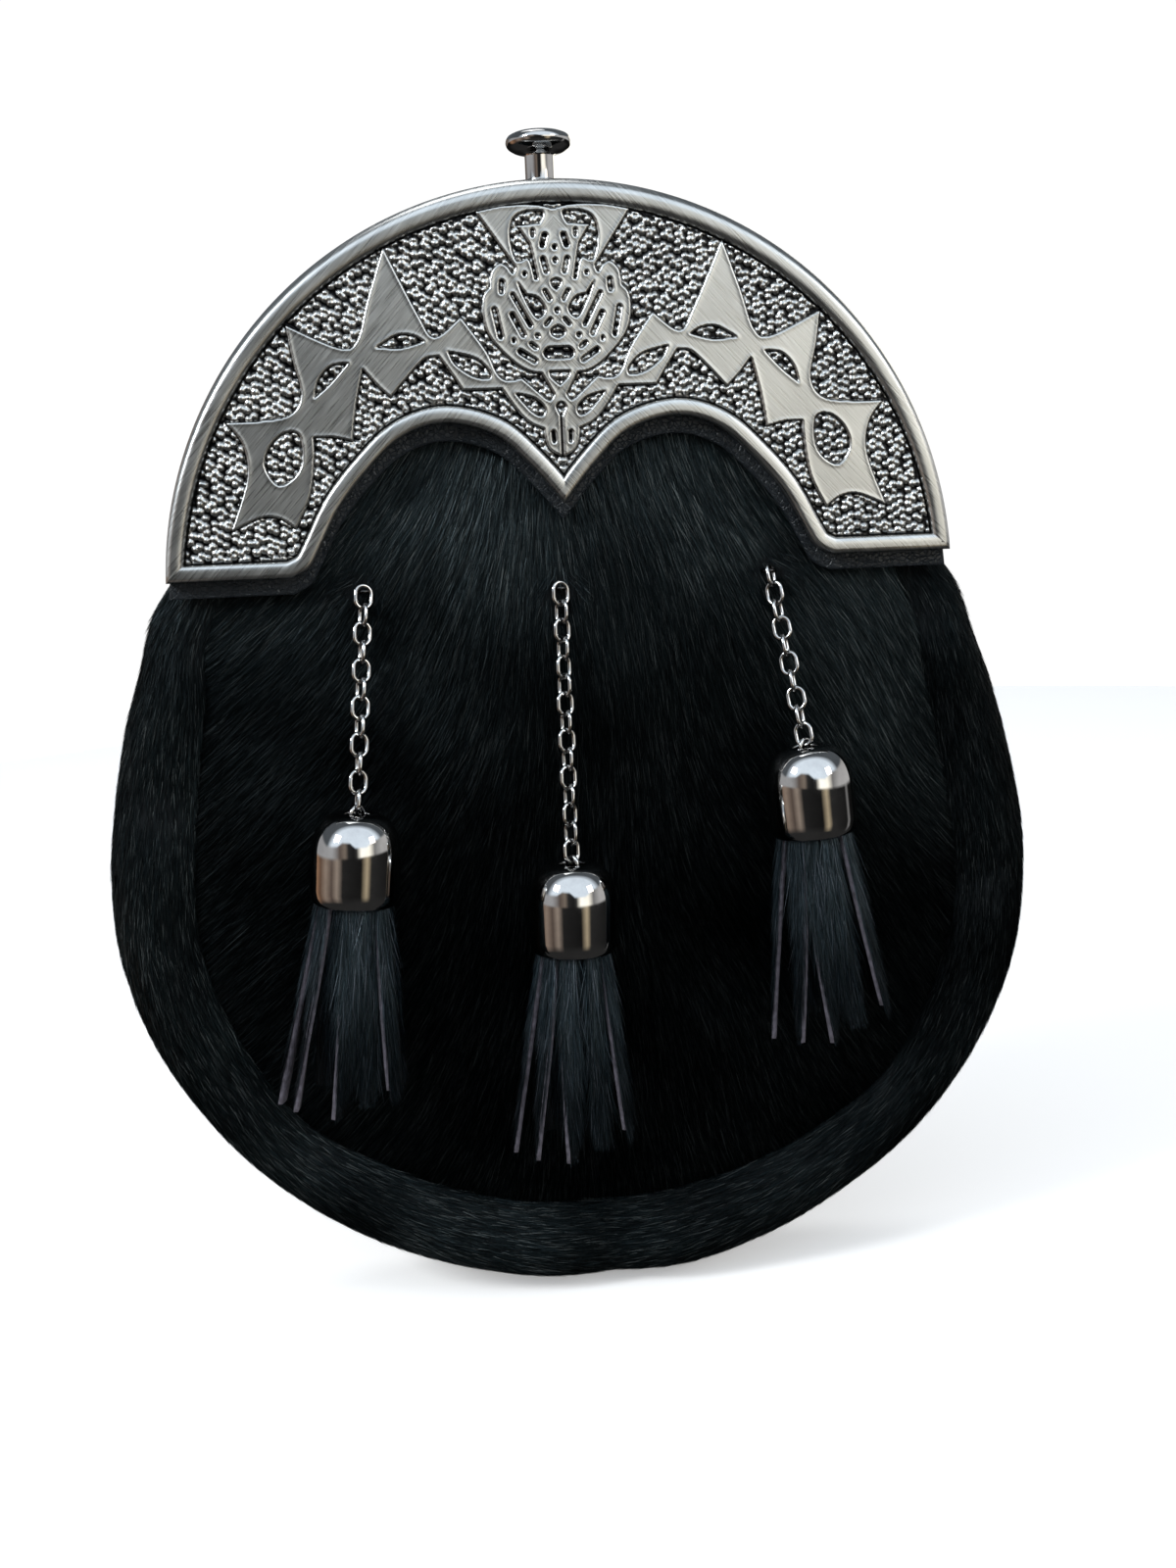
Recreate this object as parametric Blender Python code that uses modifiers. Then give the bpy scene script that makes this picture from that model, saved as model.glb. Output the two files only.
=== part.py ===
"""A sporran pouch: a round fur pouch under a cast cantle with a raised thistle, with three chain tassels.

Metres, +Z up, the front faces -Y. Everything is drawn in the cantle's frame: z is 0 at the cantle's foot line,
y is 0 at the front of its rim and grows towards the wearer. One empty then carries the whole object so that the
origin lies where the belt strap holds it.
"""

import math

import bmesh
import bpy
from mathutils import Vector

# Clearances
GAP = 0.0003
SEAM_GAP = 0.0008

# Cantle
CANTLE_WIDTH = 0.1636
CANTLE_HEIGHT = 0.0760
CANTLE_PLATE = 0.0020
RIM_WIDTH = 0.0035
RIM_RISE = 0.0014
RIM_FLARE = 0.0014
RIM_WALL = 0.0030
RELIEF_RISE = 0.0009
RELIEF_ROOT = 0.0005
LUG_WIDTH = 0.0084
LUG_DEPTH = 0.0125

# Knob
KNOB_DIAMETER = 0.0138
KNOB_HEIGHT = 0.0106
KNOB_DISC = 0.0044
STEM_DIAMETER = 0.0060
COLLAR_DIAMETER = 0.0076
COLLAR_HEIGHT = 0.0008
KNOB_OFFSET = -0.0012

# Leather apron behind the cantle
APRON_DROP = 0.0034
APRON_THICKNESS = 0.0018

# Pouch body
BODY_RADIUS = 0.1036
BODY_TOP_SINK = 0.0101
BODY_SWAY = 0.0035
BAND_WIDTH = 0.0212
BAND_ROLL = 0.0045
HIDE_THICKNESS = 0.0020
POUCH_DEPTH_TOP = 0.0180
POUCH_DEPTH_BOTTOM = 0.0380
BACK_INSET = 0.0090
PANEL_CROWN = 0.0045
HIDDEN_CROWN_SHARE = 0.42

# Back
BACK_LEATHER = 0.0020
MOUTH_WIDTH = 0.0960
MOUTH_HEIGHT = 0.0120
MOUTH_RISE = 0.0020
FLAP_WIDTH = 0.1120
FLAP_LENGTH = 0.0760
FLAP_OVERLAP = 0.0050
FLAP_THICKNESS = 0.0020
STUD_DIAMETER = 0.0120
STUD_RISE = 0.0030

# Belt loops
STRAP_DROP = 0.0329
LOOP_SPACING = 0.0520
LOOP_WIDTH = 0.0120
LOOP_THICKNESS = 0.0020
SLOT_HEIGHT = 0.0240
SLOT_DEPTH = 0.0065
LOOP_FOOT = 0.0050

# Chains and their staples
LINK_LENGTH = 0.00545
LINK_WIDTH = 0.0043
LINK_WIRE = 0.0009
LINK_BITE = 0.00020
STAPLE_REACH = 0.0029
STAPLE_SPREAD = 0.0026
STAPLE_FOOT = 0.0030
STAPLE_HOLE = 0.0042

# Bell caps and hangers
CAP_DIAMETER = 0.0175
CAP_HEIGHT = 0.0163
CAP_WALL = 0.0008
CAP_HOLE = 0.0056
CAP_SHOULDER = 0.0052
WASHER_LAP = 0.0009
WASHER_THICKNESS = 0.0010
EYE_WIDTH = 0.0041
EYE_LENGTH = 0.0066
EYE_SINK = 0.0010

# Tassels
TASSEL_HEAD = 0.0125
TASSEL_LENGTH = 0.0570
STRIP_WIDTH = 0.0036
STRIP_THICKNESS = 0.0015

# Shares that the small parts are drawn with
FLAP_STRAIGHT_SHARE = 0.45
STUD_EDGE_SHARE = 0.25
STUD_INSET_SHARE = 1.2
LOOP_BEND_SHARE = 0.5
STAPLE_BEND_SHARE = 0.25
HEAD_LENGTH_SHARE = 0.62
STRIP_ROOT_SHARE = 0.86
CAP_LIP_SHARE = 0.6

# Fineness of round stretches
ARC_STEPS = 28
TURN_STEPS = 12
LINK_STEPS = 10
WIRE_SIDES = 5

SHARP = "sharp"
ROUND = "round"

# Lower edge of the cantle, from the middle point to the foot.
# Columns: across in hundredths of the half width, up in hundredths of the height, turn.
CANTLE_EDGE = (
    (0.0, 17.1, SHARP), (8.5, 27.9, ROUND), (17.0, 35.9, ROUND), (29.2, 39.3, ROUND), (40.1, 35.9, ROUND),
    (49.2, 27.3, ROUND), (56.5, 17.9, ROUND), (62.2, 6.8, ROUND), (64.9, 2.4, ROUND), (69.3, 0.0, SHARP),
)

# Right half of the relief's outline, drawn by hand. Same columns as the cantle's edge.
THISTLE = (
    (0.0, 93.6, SHARP), (4.6, 94.7, ROUND), (12.2, 94.6, ROUND), (19.0, 93.3, SHARP), (9.8, 79.0, SHARP),
    (10.6, 77.3, ROUND), (11.8, 79.1, SHARP), (13.7, 80.0, ROUND), (15.8, 77.8, ROUND), (16.4, 73.9, SHARP),
    (18.0, 71.9, ROUND), (18.5, 67.7, ROUND), (17.5, 62.5, ROUND), (14.8, 58.3, ROUND), (10.7, 54.1, ROUND),
    (7.3, 52.0, ROUND), (4.5, 51.5, SHARP), (1.5, 45.7, SHARP), (2.6, 44.2, ROUND), (4.0, 44.9, SHARP),
)
INNER_LEAF_TOP = (
    (9.5, 50.3, SHARP), (12.9, 49.7, ROUND), (15.6, 51.6, ROUND), (18.2, 57.8, ROUND), (23.9, 66.5, SHARP),
)
GREAT_LEAF_TOP = (
    (30.6, 61.5, ROUND), (34.5, 67.7, ROUND), (42.0, 84.8, SHARP), (46.4, 71.6, ROUND), (49.6, 61.2, ROUND),
)
OUTER_LEAF = (
    (54.1, 59.5, ROUND), (66.6, 65.7, SHARP), (65.5, 57.2, ROUND), (63.9, 48.0, ROUND), (66.8, 42.8, ROUND),
)
END_LEAF = (
    (74.1, 41.4, ROUND), (82.6, 41.3, SHARP), (78.9, 35.5, ROUND), (78.3, 26.9, ROUND), (83.1, 13.0, SHARP),
    (75.9, 16.3, ROUND), (71.1, 15.9, ROUND), (67.4, 13.1, SHARP), (63.4, 21.7, ROUND), (61.8, 31.5, ROUND),
    (61.6, 36.8, SHARP),
)
LOWER_EDGE = (
    (57.1, 36.7, ROUND), (52.2, 35.5, SHARP), (50.8, 44.7, ROUND), (48.6, 54.0, SHARP), (45.3, 49.7, ROUND),
    (42.2, 46.5, SHARP), (37.7, 51.8, ROUND), (33.4, 56.1, ROUND), (29.9, 56.8, SHARP), (27.2, 52.6, ROUND),
    (24.3, 47.7, SHARP), (14.6, 47.7, SHARP), (10.9, 41.8, ROUND), (7.8, 38.5, ROUND), (4.5, 36.9, SHARP),
)
FOOT = (
    (4.3, 34.2, ROUND), (3.2, 31.4, ROUND), (0.3, 29.4, SHARP), (0.3, 40.1, SHARP), (1.2, 42.4, ROUND),
    (0.7, 43.5, ROUND), (0.0, 43.8, SHARP),
)
RELIEF_HALF = THISTLE + INNER_LEAF_TOP + GREAT_LEAF_TOP + OUTER_LEAF + END_LEAF + LOWER_EDGE + FOOT

# Openings through the relief on the right, each repeated on the left. Same columns.
SIDE_OPENINGS = {
    "horn": (
        (2.7, 93.2, ROUND), (6.7, 93.2, ROUND), (9.7, 91.7, ROUND), (10.9, 88.0, ROUND), (10.6, 83.6, ROUND),
        (9.6, 80.6, ROUND), (8.4, 80.4, SHARP), (6.9, 81.3, SHARP), (6.1, 79.9, ROUND), (5.2, 75.6, SHARP),
        (4.4, 75.7, SHARP), (5.5, 82.1, ROUND), (6.1, 84.9, SHARP), (8.9, 89.5, SHARP), (3.5, 89.9, SHARP),
        (2.6, 91.5, ROUND),
    ),
    "bulb": (
        (9.6, 75.3, SHARP), (7.4, 71.9, SHARP), (4.7, 71.1, ROUND), (2.9, 68.1, ROUND), (4.0, 66.0, ROUND),
        (5.5, 66.1, ROUND), (7.8, 70.4, ROUND),
    ),
    "stem": (
        (11.3, 46.4, SHARP), (6.7, 45.1, ROUND), (4.1, 42.4, ROUND), (4.7, 40.2, ROUND), (7.0, 41.1, ROUND),
        (9.7, 44.2, ROUND),
    ),
    "inner_leaf": (
        (17.5, 50.5, ROUND), (17.7, 52.8, ROUND), (21.0, 56.0, ROUND), (27.5, 57.8, SHARP), (25.9, 54.4, ROUND),
        (21.6, 51.1, ROUND),
    ),
    "great_leaf": (
        (33.2, 60.6, SHARP), (36.0, 62.3, ROUND), (40.1, 62.4, ROUND), (45.1, 59.4, SHARP), (38.9, 59.0, ROUND),
    ),
    "outer_leaf": (
        (52.1, 55.6, SHARP), (56.3, 55.1, ROUND), (59.5, 51.6, ROUND), (60.8, 46.8, SHARP), (56.6, 50.5, ROUND),
    ),
    "end_leaf": (
        (65.0, 37.5, ROUND), (68.7, 38.2, ROUND), (72.4, 34.8, ROUND), (73.9, 29.6, ROUND), (71.2, 24.7, ROUND),
        (67.6, 25.8, ROUND), (64.8, 30.2, ROUND),
    ),
}

# Right halves of the openings that lie across the middle line. Same columns.
MIDDLE_OPENINGS = {
    "neck": ((0.0, 48.1, SHARP), (2.2, 50.3, ROUND), (2.6, 51.9, SHARP)),
    "oval": ((0.0, 58.3, SHARP), (2.8, 58.1, ROUND), (3.8, 56.6, ROUND), (2.8, 55.2, ROUND), (0.0, 55.0, SHARP)),
    "eye": ((0.0, 63.9, SHARP), (1.6, 62.9, ROUND), (1.6, 61.4, ROUND), (0.0, 60.4, SHARP)),
    "drop": ((0.0, 76.0, SHARP), (1.3, 75.3, ROUND), (1.0, 73.9, ROUND), (0.0, 72.9, SHARP)),
}

# Slots with round ends in the thistle. Columns: across and up of the upper end, then of the lower end, in
# hundredths of the cantle's half width and height, and the slot's width in hundredths of the half width.
SIDE_SLOTS = (
    (5.3, 88.2, 5.3, 87.0, 1.0),
    (2.3, 87.0, 3.0, 84.4, 1.3),
    (3.0, 80.9, 2.3, 77.7, 1.2),
    (2.9, 72.7, 1.8, 70.6, 1.0),
    (1.8, 65.4, 2.9, 64.0, 0.9),
    (10.9, 71.9, 6.8, 63.9, 1.0),
    (11.2, 66.8, 8.7, 61.5, 1.2),
    (15.6, 68.2, 14.3, 61.2, 1.2),
    (13.4, 75.3, 13.6, 72.8, 1.2),
    (6.8, 59.1, 5.7, 58.1, 1.0),
    (9.6, 57.2, 6.1, 54.7, 1.3),
    (11.1, 60.4, 11.1, 59.8, 0.7),
    (2.2, 35.9, 2.1, 33.4, 0.9),
    (5.2, 61.2, 5.2, 61.1, 1.1),
    (7.7, 77.3, 7.7, 77.1, 0.9),
)
MIDDLE_SLOTS = (
    (0.0, 84.0, 0.0, 83.8, 1.1),
    (0.0, 80.6, 0.0, 80.4, 1.1),
    (0.0, 67.7, 0.0, 67.5, 1.2),
)

# The pouch from its top, behind the cantle, down to the bottom seam. Columns: angle from straight up round the
# pouch's centre in degrees, outline as a share of BODY_RADIUS, band as a share of BAND_WIDTH, and how far the
# band rolls forward of its seam as a share of BAND_ROLL.
STATIONS = (
    (0, 1.215, 0.38, 0.0),
    (15, 1.192, 0.38, 0.0),
    (30, 1.105, 0.38, 0.0),
    (42, 1.023, 0.40, 0.0),
    (52, 0.980, 0.52, 0.0),
    (58, 0.978, 0.60, 0.3),
    (65, 0.960, 0.70, 0.8),
    (73, 0.955, 0.78, 0.9),
    (82, 0.959, 0.84, 0.7),
    (91, 0.974, 0.87, 0.9),
    (100, 0.991, 0.87, 1.0),
    (110, 1.002, 0.87, 1.0),
    (121, 1.006, 0.86, 1.0),
    (132, 1.006, 0.82, 0.9),
    (142, 1.004, 0.89, 1.0),
    (152, 1.002, 0.94, 1.0),
    (162, 1.001, 0.98, 1.0),
    (172, 1.000, 1.00, 1.0),
    (180, 0.994, 1.00, 0.6),
)

# The band's cross-section, as shares of its width and of the depth between its seam and the back.
BAND_CREST = 0.55
BAND_FULLEST = 0.45
BAND_LIP = 0.80
BAND_LIP_RISE = 0.75
BAND_FRONT_TURNS = (90, 62, 33, 0)
BAND_BACK_TURNS = (35, 65, 90)

# Soft dents in the bands. Columns: side (-1 left, 1 right), angle in degrees, half width in degrees, and depth
# as a share of BAND_ROLL.
DENTS = (
    (-1, 80, 7, 0.30),
    (-1, 122, 6, 0.22),
    (1, 74, 6, 0.25),
    (1, 99, 6, 0.35),
    (1, 146, 7, 0.22),
)

# Edge of the knob's disc. Columns: radius as a share of the disc's, drop as a share of KNOB_DISC.
KNOB_EDGE = ((0.0, 0.0), (0.70, 0.04), (0.93, 0.20), (1.0, 0.45), (0.95, 0.70), (0.75, 0.90))

# Rings of the front panel as shares of the way from its centre to its seam.
PANEL_RINGS = (1.0, 0.80, 0.45)

# The three pendants. Columns: name, staple across and below the cantle's foot as shares of BODY_RADIUS, links,
# sideways lean of the chain and of the tassel in degrees (towards +X going down).
PENDANTS = (
    ("left", -0.410, 0.034, 12, -4.8, -5.5),
    ("middle", -0.016, 0.045, 15, -1.0, -1.0),
    ("right", 0.419, 0.029, 10, 6.5, 5.0),
)

# Strips of a tassel. Columns: angle round the head in degrees (0 at +X, 270 at the front), how far the tip
# spreads out and how long it is as shares of the head's radius and of TASSEL_LENGTH, and its width as a share
# of STRIP_WIDTH.
STRIPS = (
    (8, 0.85, 0.93, 1.0),
    (48, 0.35, 0.97, 1.0),
    (90, 0.10, 0.95, 1.0),
    (132, 0.35, 0.96, 1.0),
    (172, 1.15, 1.00, 1.0),
    (213, 0.95, 0.99, 1.0),
    (250, 0.55, 1.00, 0.9),
    (288, 0.55, 0.97, 0.9),
    (327, 0.80, 0.99, 1.0),
)

# Sections of a strip. Columns: way down the strip, share of its spread reached there, width as a share of its
# own, thickness as a share of STRIP_THICKNESS.
STRIP_SECTIONS = (
    (0.10, 0.00, 0.75, 1.00),
    (0.42, 0.38, 1.00, 1.15),
    (1.00, 1.00, 0.95, 0.70),
)


def clear_scene():
    for item in list(bpy.data.objects):
        bpy.data.objects.remove(item, do_unlink=True)


def make_collection(name):
    collection = bpy.data.collections.new(name)
    bpy.context.scene.collection.children.link(collection)
    return collection


def make_material(name, colour, roughness, metallic):
    material = bpy.data.materials.new(name)
    material.use_nodes = True
    shader = material.node_tree.nodes["Principled BSDF"]
    shader.inputs["Base Color"].default_value = (*colour, 1.0)
    shader.inputs["Roughness"].default_value = roughness
    shader.inputs["Metallic"].default_value = metallic
    return material


# The materials take the photo's colours.
def make_materials():
    return {
        "pewter": make_material("pewter", (0.42, 0.40, 0.36), 0.32, 1.0),
        "gunmetal": make_material("gunmetal", (0.30, 0.29, 0.28), 0.12, 1.0),
        "hide": make_material("hide", (0.008, 0.010, 0.012), 0.55, 0.0),
        "leather": make_material("leather", (0.014, 0.017, 0.022), 0.50, 0.0),
        "tassel_hide": make_material("tassel_hide", (0.012, 0.011, 0.013), 0.60, 0.0),
    }


def add_part(name, mesh, material, place=(0.0, 0.0, 0.0), turn=(0.0, 0.0, 0.0)):
    """Puts a mesh into the part's collection as one named piece, carried by the root empty."""
    part = bpy.data.objects.new(name, mesh)
    part.data.materials.clear()
    part.data.materials.append(MATERIALS[material])
    part.location = place
    part.rotation_euler = turn
    part.parent = ROOT
    PARTS.objects.link(part)
    return part


def add_cutter(name, mesh, place=(0.0, 0.0, 0.0), turn=(0.0, 0.0, 0.0)):
    cutter = bpy.data.objects.new(name, mesh)
    cutter.location = place
    cutter.rotation_euler = turn
    cutter.parent = ROOT
    cutter.hide_render = True
    cutter.display_type = "WIRE"
    CUTTERS.objects.link(cutter)
    return cutter


def add_boolean(part, operand, operation):
    modifier = part.modifiers.new(operation.lower(), "BOOLEAN")
    modifier.operation = operation
    modifier.object = operand
    modifier.solver = "EXACT"


def add_solidify(part, thickness):
    """Gives an open surface its thickness on the side away from its normals."""
    modifier = part.modifiers.new("thickness", "SOLIDIFY")
    modifier.thickness = thickness
    modifier.offset = -1.0
    modifier.use_even_offset = True


def mesh_from(name, points, faces, smooth=False):
    mesh = bpy.data.meshes.new(name)
    mesh.from_pydata([tuple(point) for point in points], [], faces)
    bm = bmesh.new()
    bm.from_mesh(mesh)
    bmesh.ops.recalc_face_normals(bm, faces=bm.faces)
    bm.to_mesh(mesh)
    bm.free()
    if smooth:
        mesh.shade_smooth()
        mesh.set_sharp_from_angle(angle=math.radians(40))
    return mesh


def loft(name, sections, smooth=True):
    """A closed solid through closed sections of equal point counts, with a flat cap at each end."""
    count = len(sections[0])
    points = [point for section in sections for point in section]
    faces = []
    for row in range(len(sections) - 1):
        for i in range(count):
            j = (i + 1) % count
            faces.append((row * count + i, row * count + j, (row + 1) * count + j, (row + 1) * count + i))
    last = (len(sections) - 1) * count
    faces.append(tuple(range(count)))
    faces.append(tuple(range(last, last + count)))
    return mesh_from(name, points, faces, smooth)


def ring(name, sections):
    """A closed tube through closed sections that follow each other round a loop."""
    count = len(sections[0])
    rows = len(sections)
    points = [point for section in sections for point in section]
    faces = []
    for row in range(rows):
        after = (row + 1) % rows
        for i in range(count):
            j = (i + 1) % count
            faces.append((row * count + i, row * count + j, after * count + j, after * count + i))
    return mesh_from(name, points, faces, smooth=True)


def curve_mesh(curve):
    """A curve as a mesh with its caps welded, ready for a Boolean."""
    carrier = bpy.data.objects.new(curve.name, curve)
    bpy.context.scene.collection.objects.link(carrier)
    evaluated = carrier.evaluated_get(bpy.context.evaluated_depsgraph_get())
    mesh = bpy.data.meshes.new_from_object(evaluated)
    bpy.data.objects.remove(carrier, do_unlink=True)
    bm = bmesh.new()
    bm.from_mesh(mesh)
    bmesh.ops.remove_doubles(bm, verts=bm.verts, dist=0.000001)
    bm.to_mesh(mesh)
    bm.free()
    return mesh


def plate_mesh(name, outlines, thickness):
    """A flat plate from outlines of (across, up), lying in its local XY plane, centred on its thickness."""
    curve = bpy.data.curves.new(name, "CURVE")
    curve.dimensions = "2D"
    curve.fill_mode = "BOTH"
    curve.extrude = thickness / 2
    for outline in outlines:
        spline = curve.splines.new("POLY")
        spline.points.add(len(outline) - 1)
        for point, (across, up) in zip(spline.points, outline):
            point.co = (across, up, 0.0, 1.0)
        spline.use_cyclic_u = True
    return curve_mesh(curve)


def wire_mesh(name, route, diameter):
    """A round wire along a route of points, with filled ends and six sides."""
    curve = bpy.data.curves.new(name, "CURVE")
    curve.dimensions = "3D"
    curve.bevel_depth = diameter / 2
    curve.bevel_resolution = 1
    curve.use_fill_caps = True
    spline = curve.splines.new("POLY")
    spline.points.add(len(route) - 1)
    for point, place in zip(spline.points, route):
        point.co = (*place, 1.0)
    return curve_mesh(curve)


def turned_part(name, profile, material, closed, place, turn=(0.0, 0.0, 0.0)):
    """A piece turned round its local Z axis from a profile of (radius, height), listed top to bottom."""
    mesh = bpy.data.meshes.new(name)
    points = [(radius, 0.0, height) for radius, height in profile]
    edges = [(i, i + 1) for i in range(len(points) - 1)]
    if closed:
        edges.append((len(points) - 1, 0))
    mesh.from_pydata(points, edges, [])
    part = add_part(name, mesh, material, place, turn)
    modifier = part.modifiers.new("turning", "SCREW")
    modifier.axis = "Z"
    modifier.steps = TURN_STEPS
    modifier.render_steps = TURN_STEPS
    modifier.use_merge_vertices = True
    modifier.merge_threshold = 0.00001
    modifier.use_smooth_shade = True
    return part


def smooth_path(rows, scale, spans, closed):
    """Points of (across, up) through drawn rows; a curve runs through round rows and stops at sharp ones."""
    count = len(rows)
    drawn = [Vector((across / 100 * scale[0], up / 100 * scale[1])) for across, up, _ in rows]
    path = []
    for i in range(count if closed else count - 1):
        j = (i + 1) % count
        before = drawn[i - 1] if rows[i][2] == ROUND else drawn[i]
        after = drawn[(j + 1) % count] if rows[j][2] == ROUND else drawn[j]
        straight = rows[i][2] == SHARP and rows[j][2] == SHARP
        steps = 1 if straight else spans
        for k in range(steps):
            t = k / steps
            path.append(
                0.5
                * (
                    2 * drawn[i]
                    + (drawn[j] - before) * t
                    + (2 * before - 5 * drawn[i] + 4 * drawn[j] - after) * t * t
                    + (3 * drawn[i] - before - 3 * drawn[j] + after) * t**3
                )
            )
    if not closed:
        path.append(drawn[-1])
    return [(point.x, point.y) for point in path]


def mirrored(path):
    return [(-across, up) for across, up in reversed(path)]


def both_sides(half):
    """Closes a right half, whose ends lie on the middle line, with its mirror image."""
    left = [point for point in mirrored(half) if abs(point[0]) > GAP / 10]
    return half + left


def slot_outline(slot, scale):
    """A slot with round ends as six points."""
    upper = Vector((slot[0] / 100 * scale[0], slot[1] / 100 * scale[1]))
    lower = Vector((slot[2] / 100 * scale[0], slot[3] / 100 * scale[1]))
    radius = slot[4] / 200 * scale[0]
    along = (upper - lower).normalized() * radius
    across = Vector((-along.y, along.x))
    corners = (
        upper + along,
        upper + across * 0.87 + along * 0.5,
        lower + across * 0.87 - along * 0.5,
        lower - along,
        lower - across * 0.87 - along * 0.5,
        upper - across * 0.87 + along * 0.5,
    )
    return [(corner.x, corner.y) for corner in corners]


def inset(outline, distance):
    """The outline moved inwards by a distance, with mitred corners."""
    area = sum(a[0] * b[1] - b[0] * a[1] for a, b in zip(outline, outline[1:] + outline[:1]))
    side = 1.0 if area > 0 else -1.0
    moved = []
    for i, point in enumerate(outline):
        here = Vector(point)
        into = (here - Vector(outline[i - 1])).normalized()
        out = (Vector(outline[(i + 1) % len(outline)]) - here).normalized()
        normal = Vector((-into.y - out.y, into.x + out.x)) * side
        length = normal.length
        normal.normalize()
        moved.append(tuple(here + normal * distance * 2 / max(length, 0.9)))
    return moved


def cantle_circle():
    """Radius of the cantle's arch and the height of its centre above the foot."""
    half = CANTLE_WIDTH / 2
    radius = (half**2 + CANTLE_HEIGHT**2) / (2 * CANTLE_HEIGHT)
    return radius, CANTLE_HEIGHT - radius


def arch_outline(flare):
    """The cantle's outline, with its arch moved outwards by a flare that fades out at the foot."""
    radius, centre = cantle_circle()
    start = math.atan2(-centre, CANTLE_WIDTH / 2)
    arch = []
    for i in range(ARC_STEPS + 1):
        angle = start + (math.pi - 2 * start) * i / ARC_STEPS
        out = radius + flare * math.sin(math.pi * i / ARC_STEPS) ** 0.5
        arch.append((out * math.cos(angle), centre + out * math.sin(angle)))
    right = smooth_path(CANTLE_EDGE, (CANTLE_WIDTH / 2, CANTLE_HEIGHT), 2, closed=False)
    return arch + mirrored(right) + right[1:]


def cantle_outline():
    return arch_outline(0.0)


def facing_front(outline, depth):
    """Points of (across, up) set upright at a depth behind the rim's front."""
    return [(across, depth, up) for across, up in outline]


# Cantle: plate and rim are one loft through insets of the outline, and the relief stands on it.
def build_cantle():
    outline = cantle_outline()
    back = RIM_RISE + CANTLE_PLATE
    flared = arch_outline(RIM_FLARE)
    sections = [facing_front(flared, back), facing_front(flared, RIM_WALL)]
    for share, depth in ((0.0, RIM_RISE * 0.6), (0.25, 0.0), (0.7, 0.0), (1.0, RIM_RISE)):
        sections.append(facing_front(inset(outline, share * RIM_WIDTH), depth))
    cantle = add_part("cantle", loft("cantle", sections), "pewter")
    scale = (CANTLE_WIDTH / 2, CANTLE_HEIGHT)
    outlines = [both_sides(smooth_path(RELIEF_HALF, scale, 2, closed=False))]
    for rows in SIDE_OPENINGS.values():
        opening = smooth_path(rows, scale, 1, closed=True)
        outlines += [opening, mirrored(opening)]
    for rows in MIDDLE_OPENINGS.values():
        outlines.append(both_sides(smooth_path(rows, scale, 2, closed=False)))
    for slot in SIDE_SLOTS:
        opening = slot_outline(slot, scale)
        outlines += [opening, mirrored(opening)]
    for slot in MIDDLE_SLOTS:
        outlines.append(slot_outline(slot, scale))
    relief = plate_mesh("relief", outlines, RELIEF_RISE + RELIEF_ROOT)
    middle = RIM_RISE + (RELIEF_ROOT - RELIEF_RISE) / 2
    raised = add_cutter("relief", relief, (0.0, middle, 0.0), (math.pi / 2, 0.0, 0.0))
    add_boolean(cantle, raised, "UNION")
    lug_foot = CANTLE_HEIGHT - APRON_DROP + GAP
    lug_top = CANTLE_HEIGHT + RIM_FLARE - GAP
    lug = box_mesh("lug", (-LUG_WIDTH / 2, back - 0.6 * CANTLE_PLATE, lug_foot),
                   (LUG_WIDTH / 2, back + LUG_DEPTH, lug_top))
    add_boolean(cantle, add_cutter("lug", lug), "UNION")


def box_mesh(name, low, high):
    bm = bmesh.new()
    bmesh.ops.create_cube(bm, size=1.0)
    for vertex in bm.verts:
        for axis in range(3):
            vertex.co[axis] = high[axis] if vertex.co[axis] > 0 else low[axis]
    mesh = bpy.data.meshes.new(name)
    bm.to_mesh(mesh)
    bm.free()
    return mesh


def build_knob():
    disc = KNOB_DIAMETER / 2
    stem = STEM_DIAMETER / 2
    top = KNOB_HEIGHT
    profile = [(out * disc, top - down * KNOB_DISC) for out, down in KNOB_EDGE]
    profile += [
        (stem, top - KNOB_DISC), (stem, COLLAR_HEIGHT), (COLLAR_DIAMETER / 2, COLLAR_HEIGHT),
        (COLLAR_DIAMETER / 2, 0.0), (0.0, 0.0),
    ]
    depth = RIM_RISE + CANTLE_PLATE + LUG_DEPTH - COLLAR_DIAMETER / 2 - GAP
    foot = CANTLE_HEIGHT + RIM_FLARE + GAP
    turned_part("cantle_knob", profile, "gunmetal", False, (KNOB_OFFSET, depth, foot))


def apron_depth():
    """Depth of the apron's front face."""
    return RIM_RISE + CANTLE_PLATE + GAP


def build_apron():
    mesh = plate_mesh("leather_apron", [cantle_outline()], APRON_THICKNESS)
    place = (0.0, apron_depth() + APRON_THICKNESS / 2, -APRON_DROP)
    add_part("leather_apron", mesh, "leather", place, (math.pi / 2, 0.0, 0.0))


def seam_depth():
    """Depth of the seam between the front panel and the bands."""
    return apron_depth() + APRON_THICKNESS + GAP + HIDDEN_CROWN_SHARE * PANEL_CROWN + GAP


def body_top():
    return CANTLE_HEIGHT - BODY_TOP_SINK


def centre_drop():
    """How far the pouch's centre lies below the cantle's foot."""
    return BODY_RADIUS * STATIONS[0][1] - body_top()


def strap_height():
    """Height of the belt strap's middle line, where the object hangs."""
    return body_top() - STRAP_DROP


def back_depth(up):
    """Depth of the back's outer face at a height."""
    bottom = -centre_drop() - BODY_RADIUS
    share = (body_top() - up) / (body_top() - bottom)
    return POUCH_DEPTH_TOP + (POUCH_DEPTH_BOTTOM - POUCH_DEPTH_TOP) * share


def back_slope():
    """Angle between the back and the vertical."""
    return math.atan2(back_depth(-1.0) - back_depth(0.0), 1.0)


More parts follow.
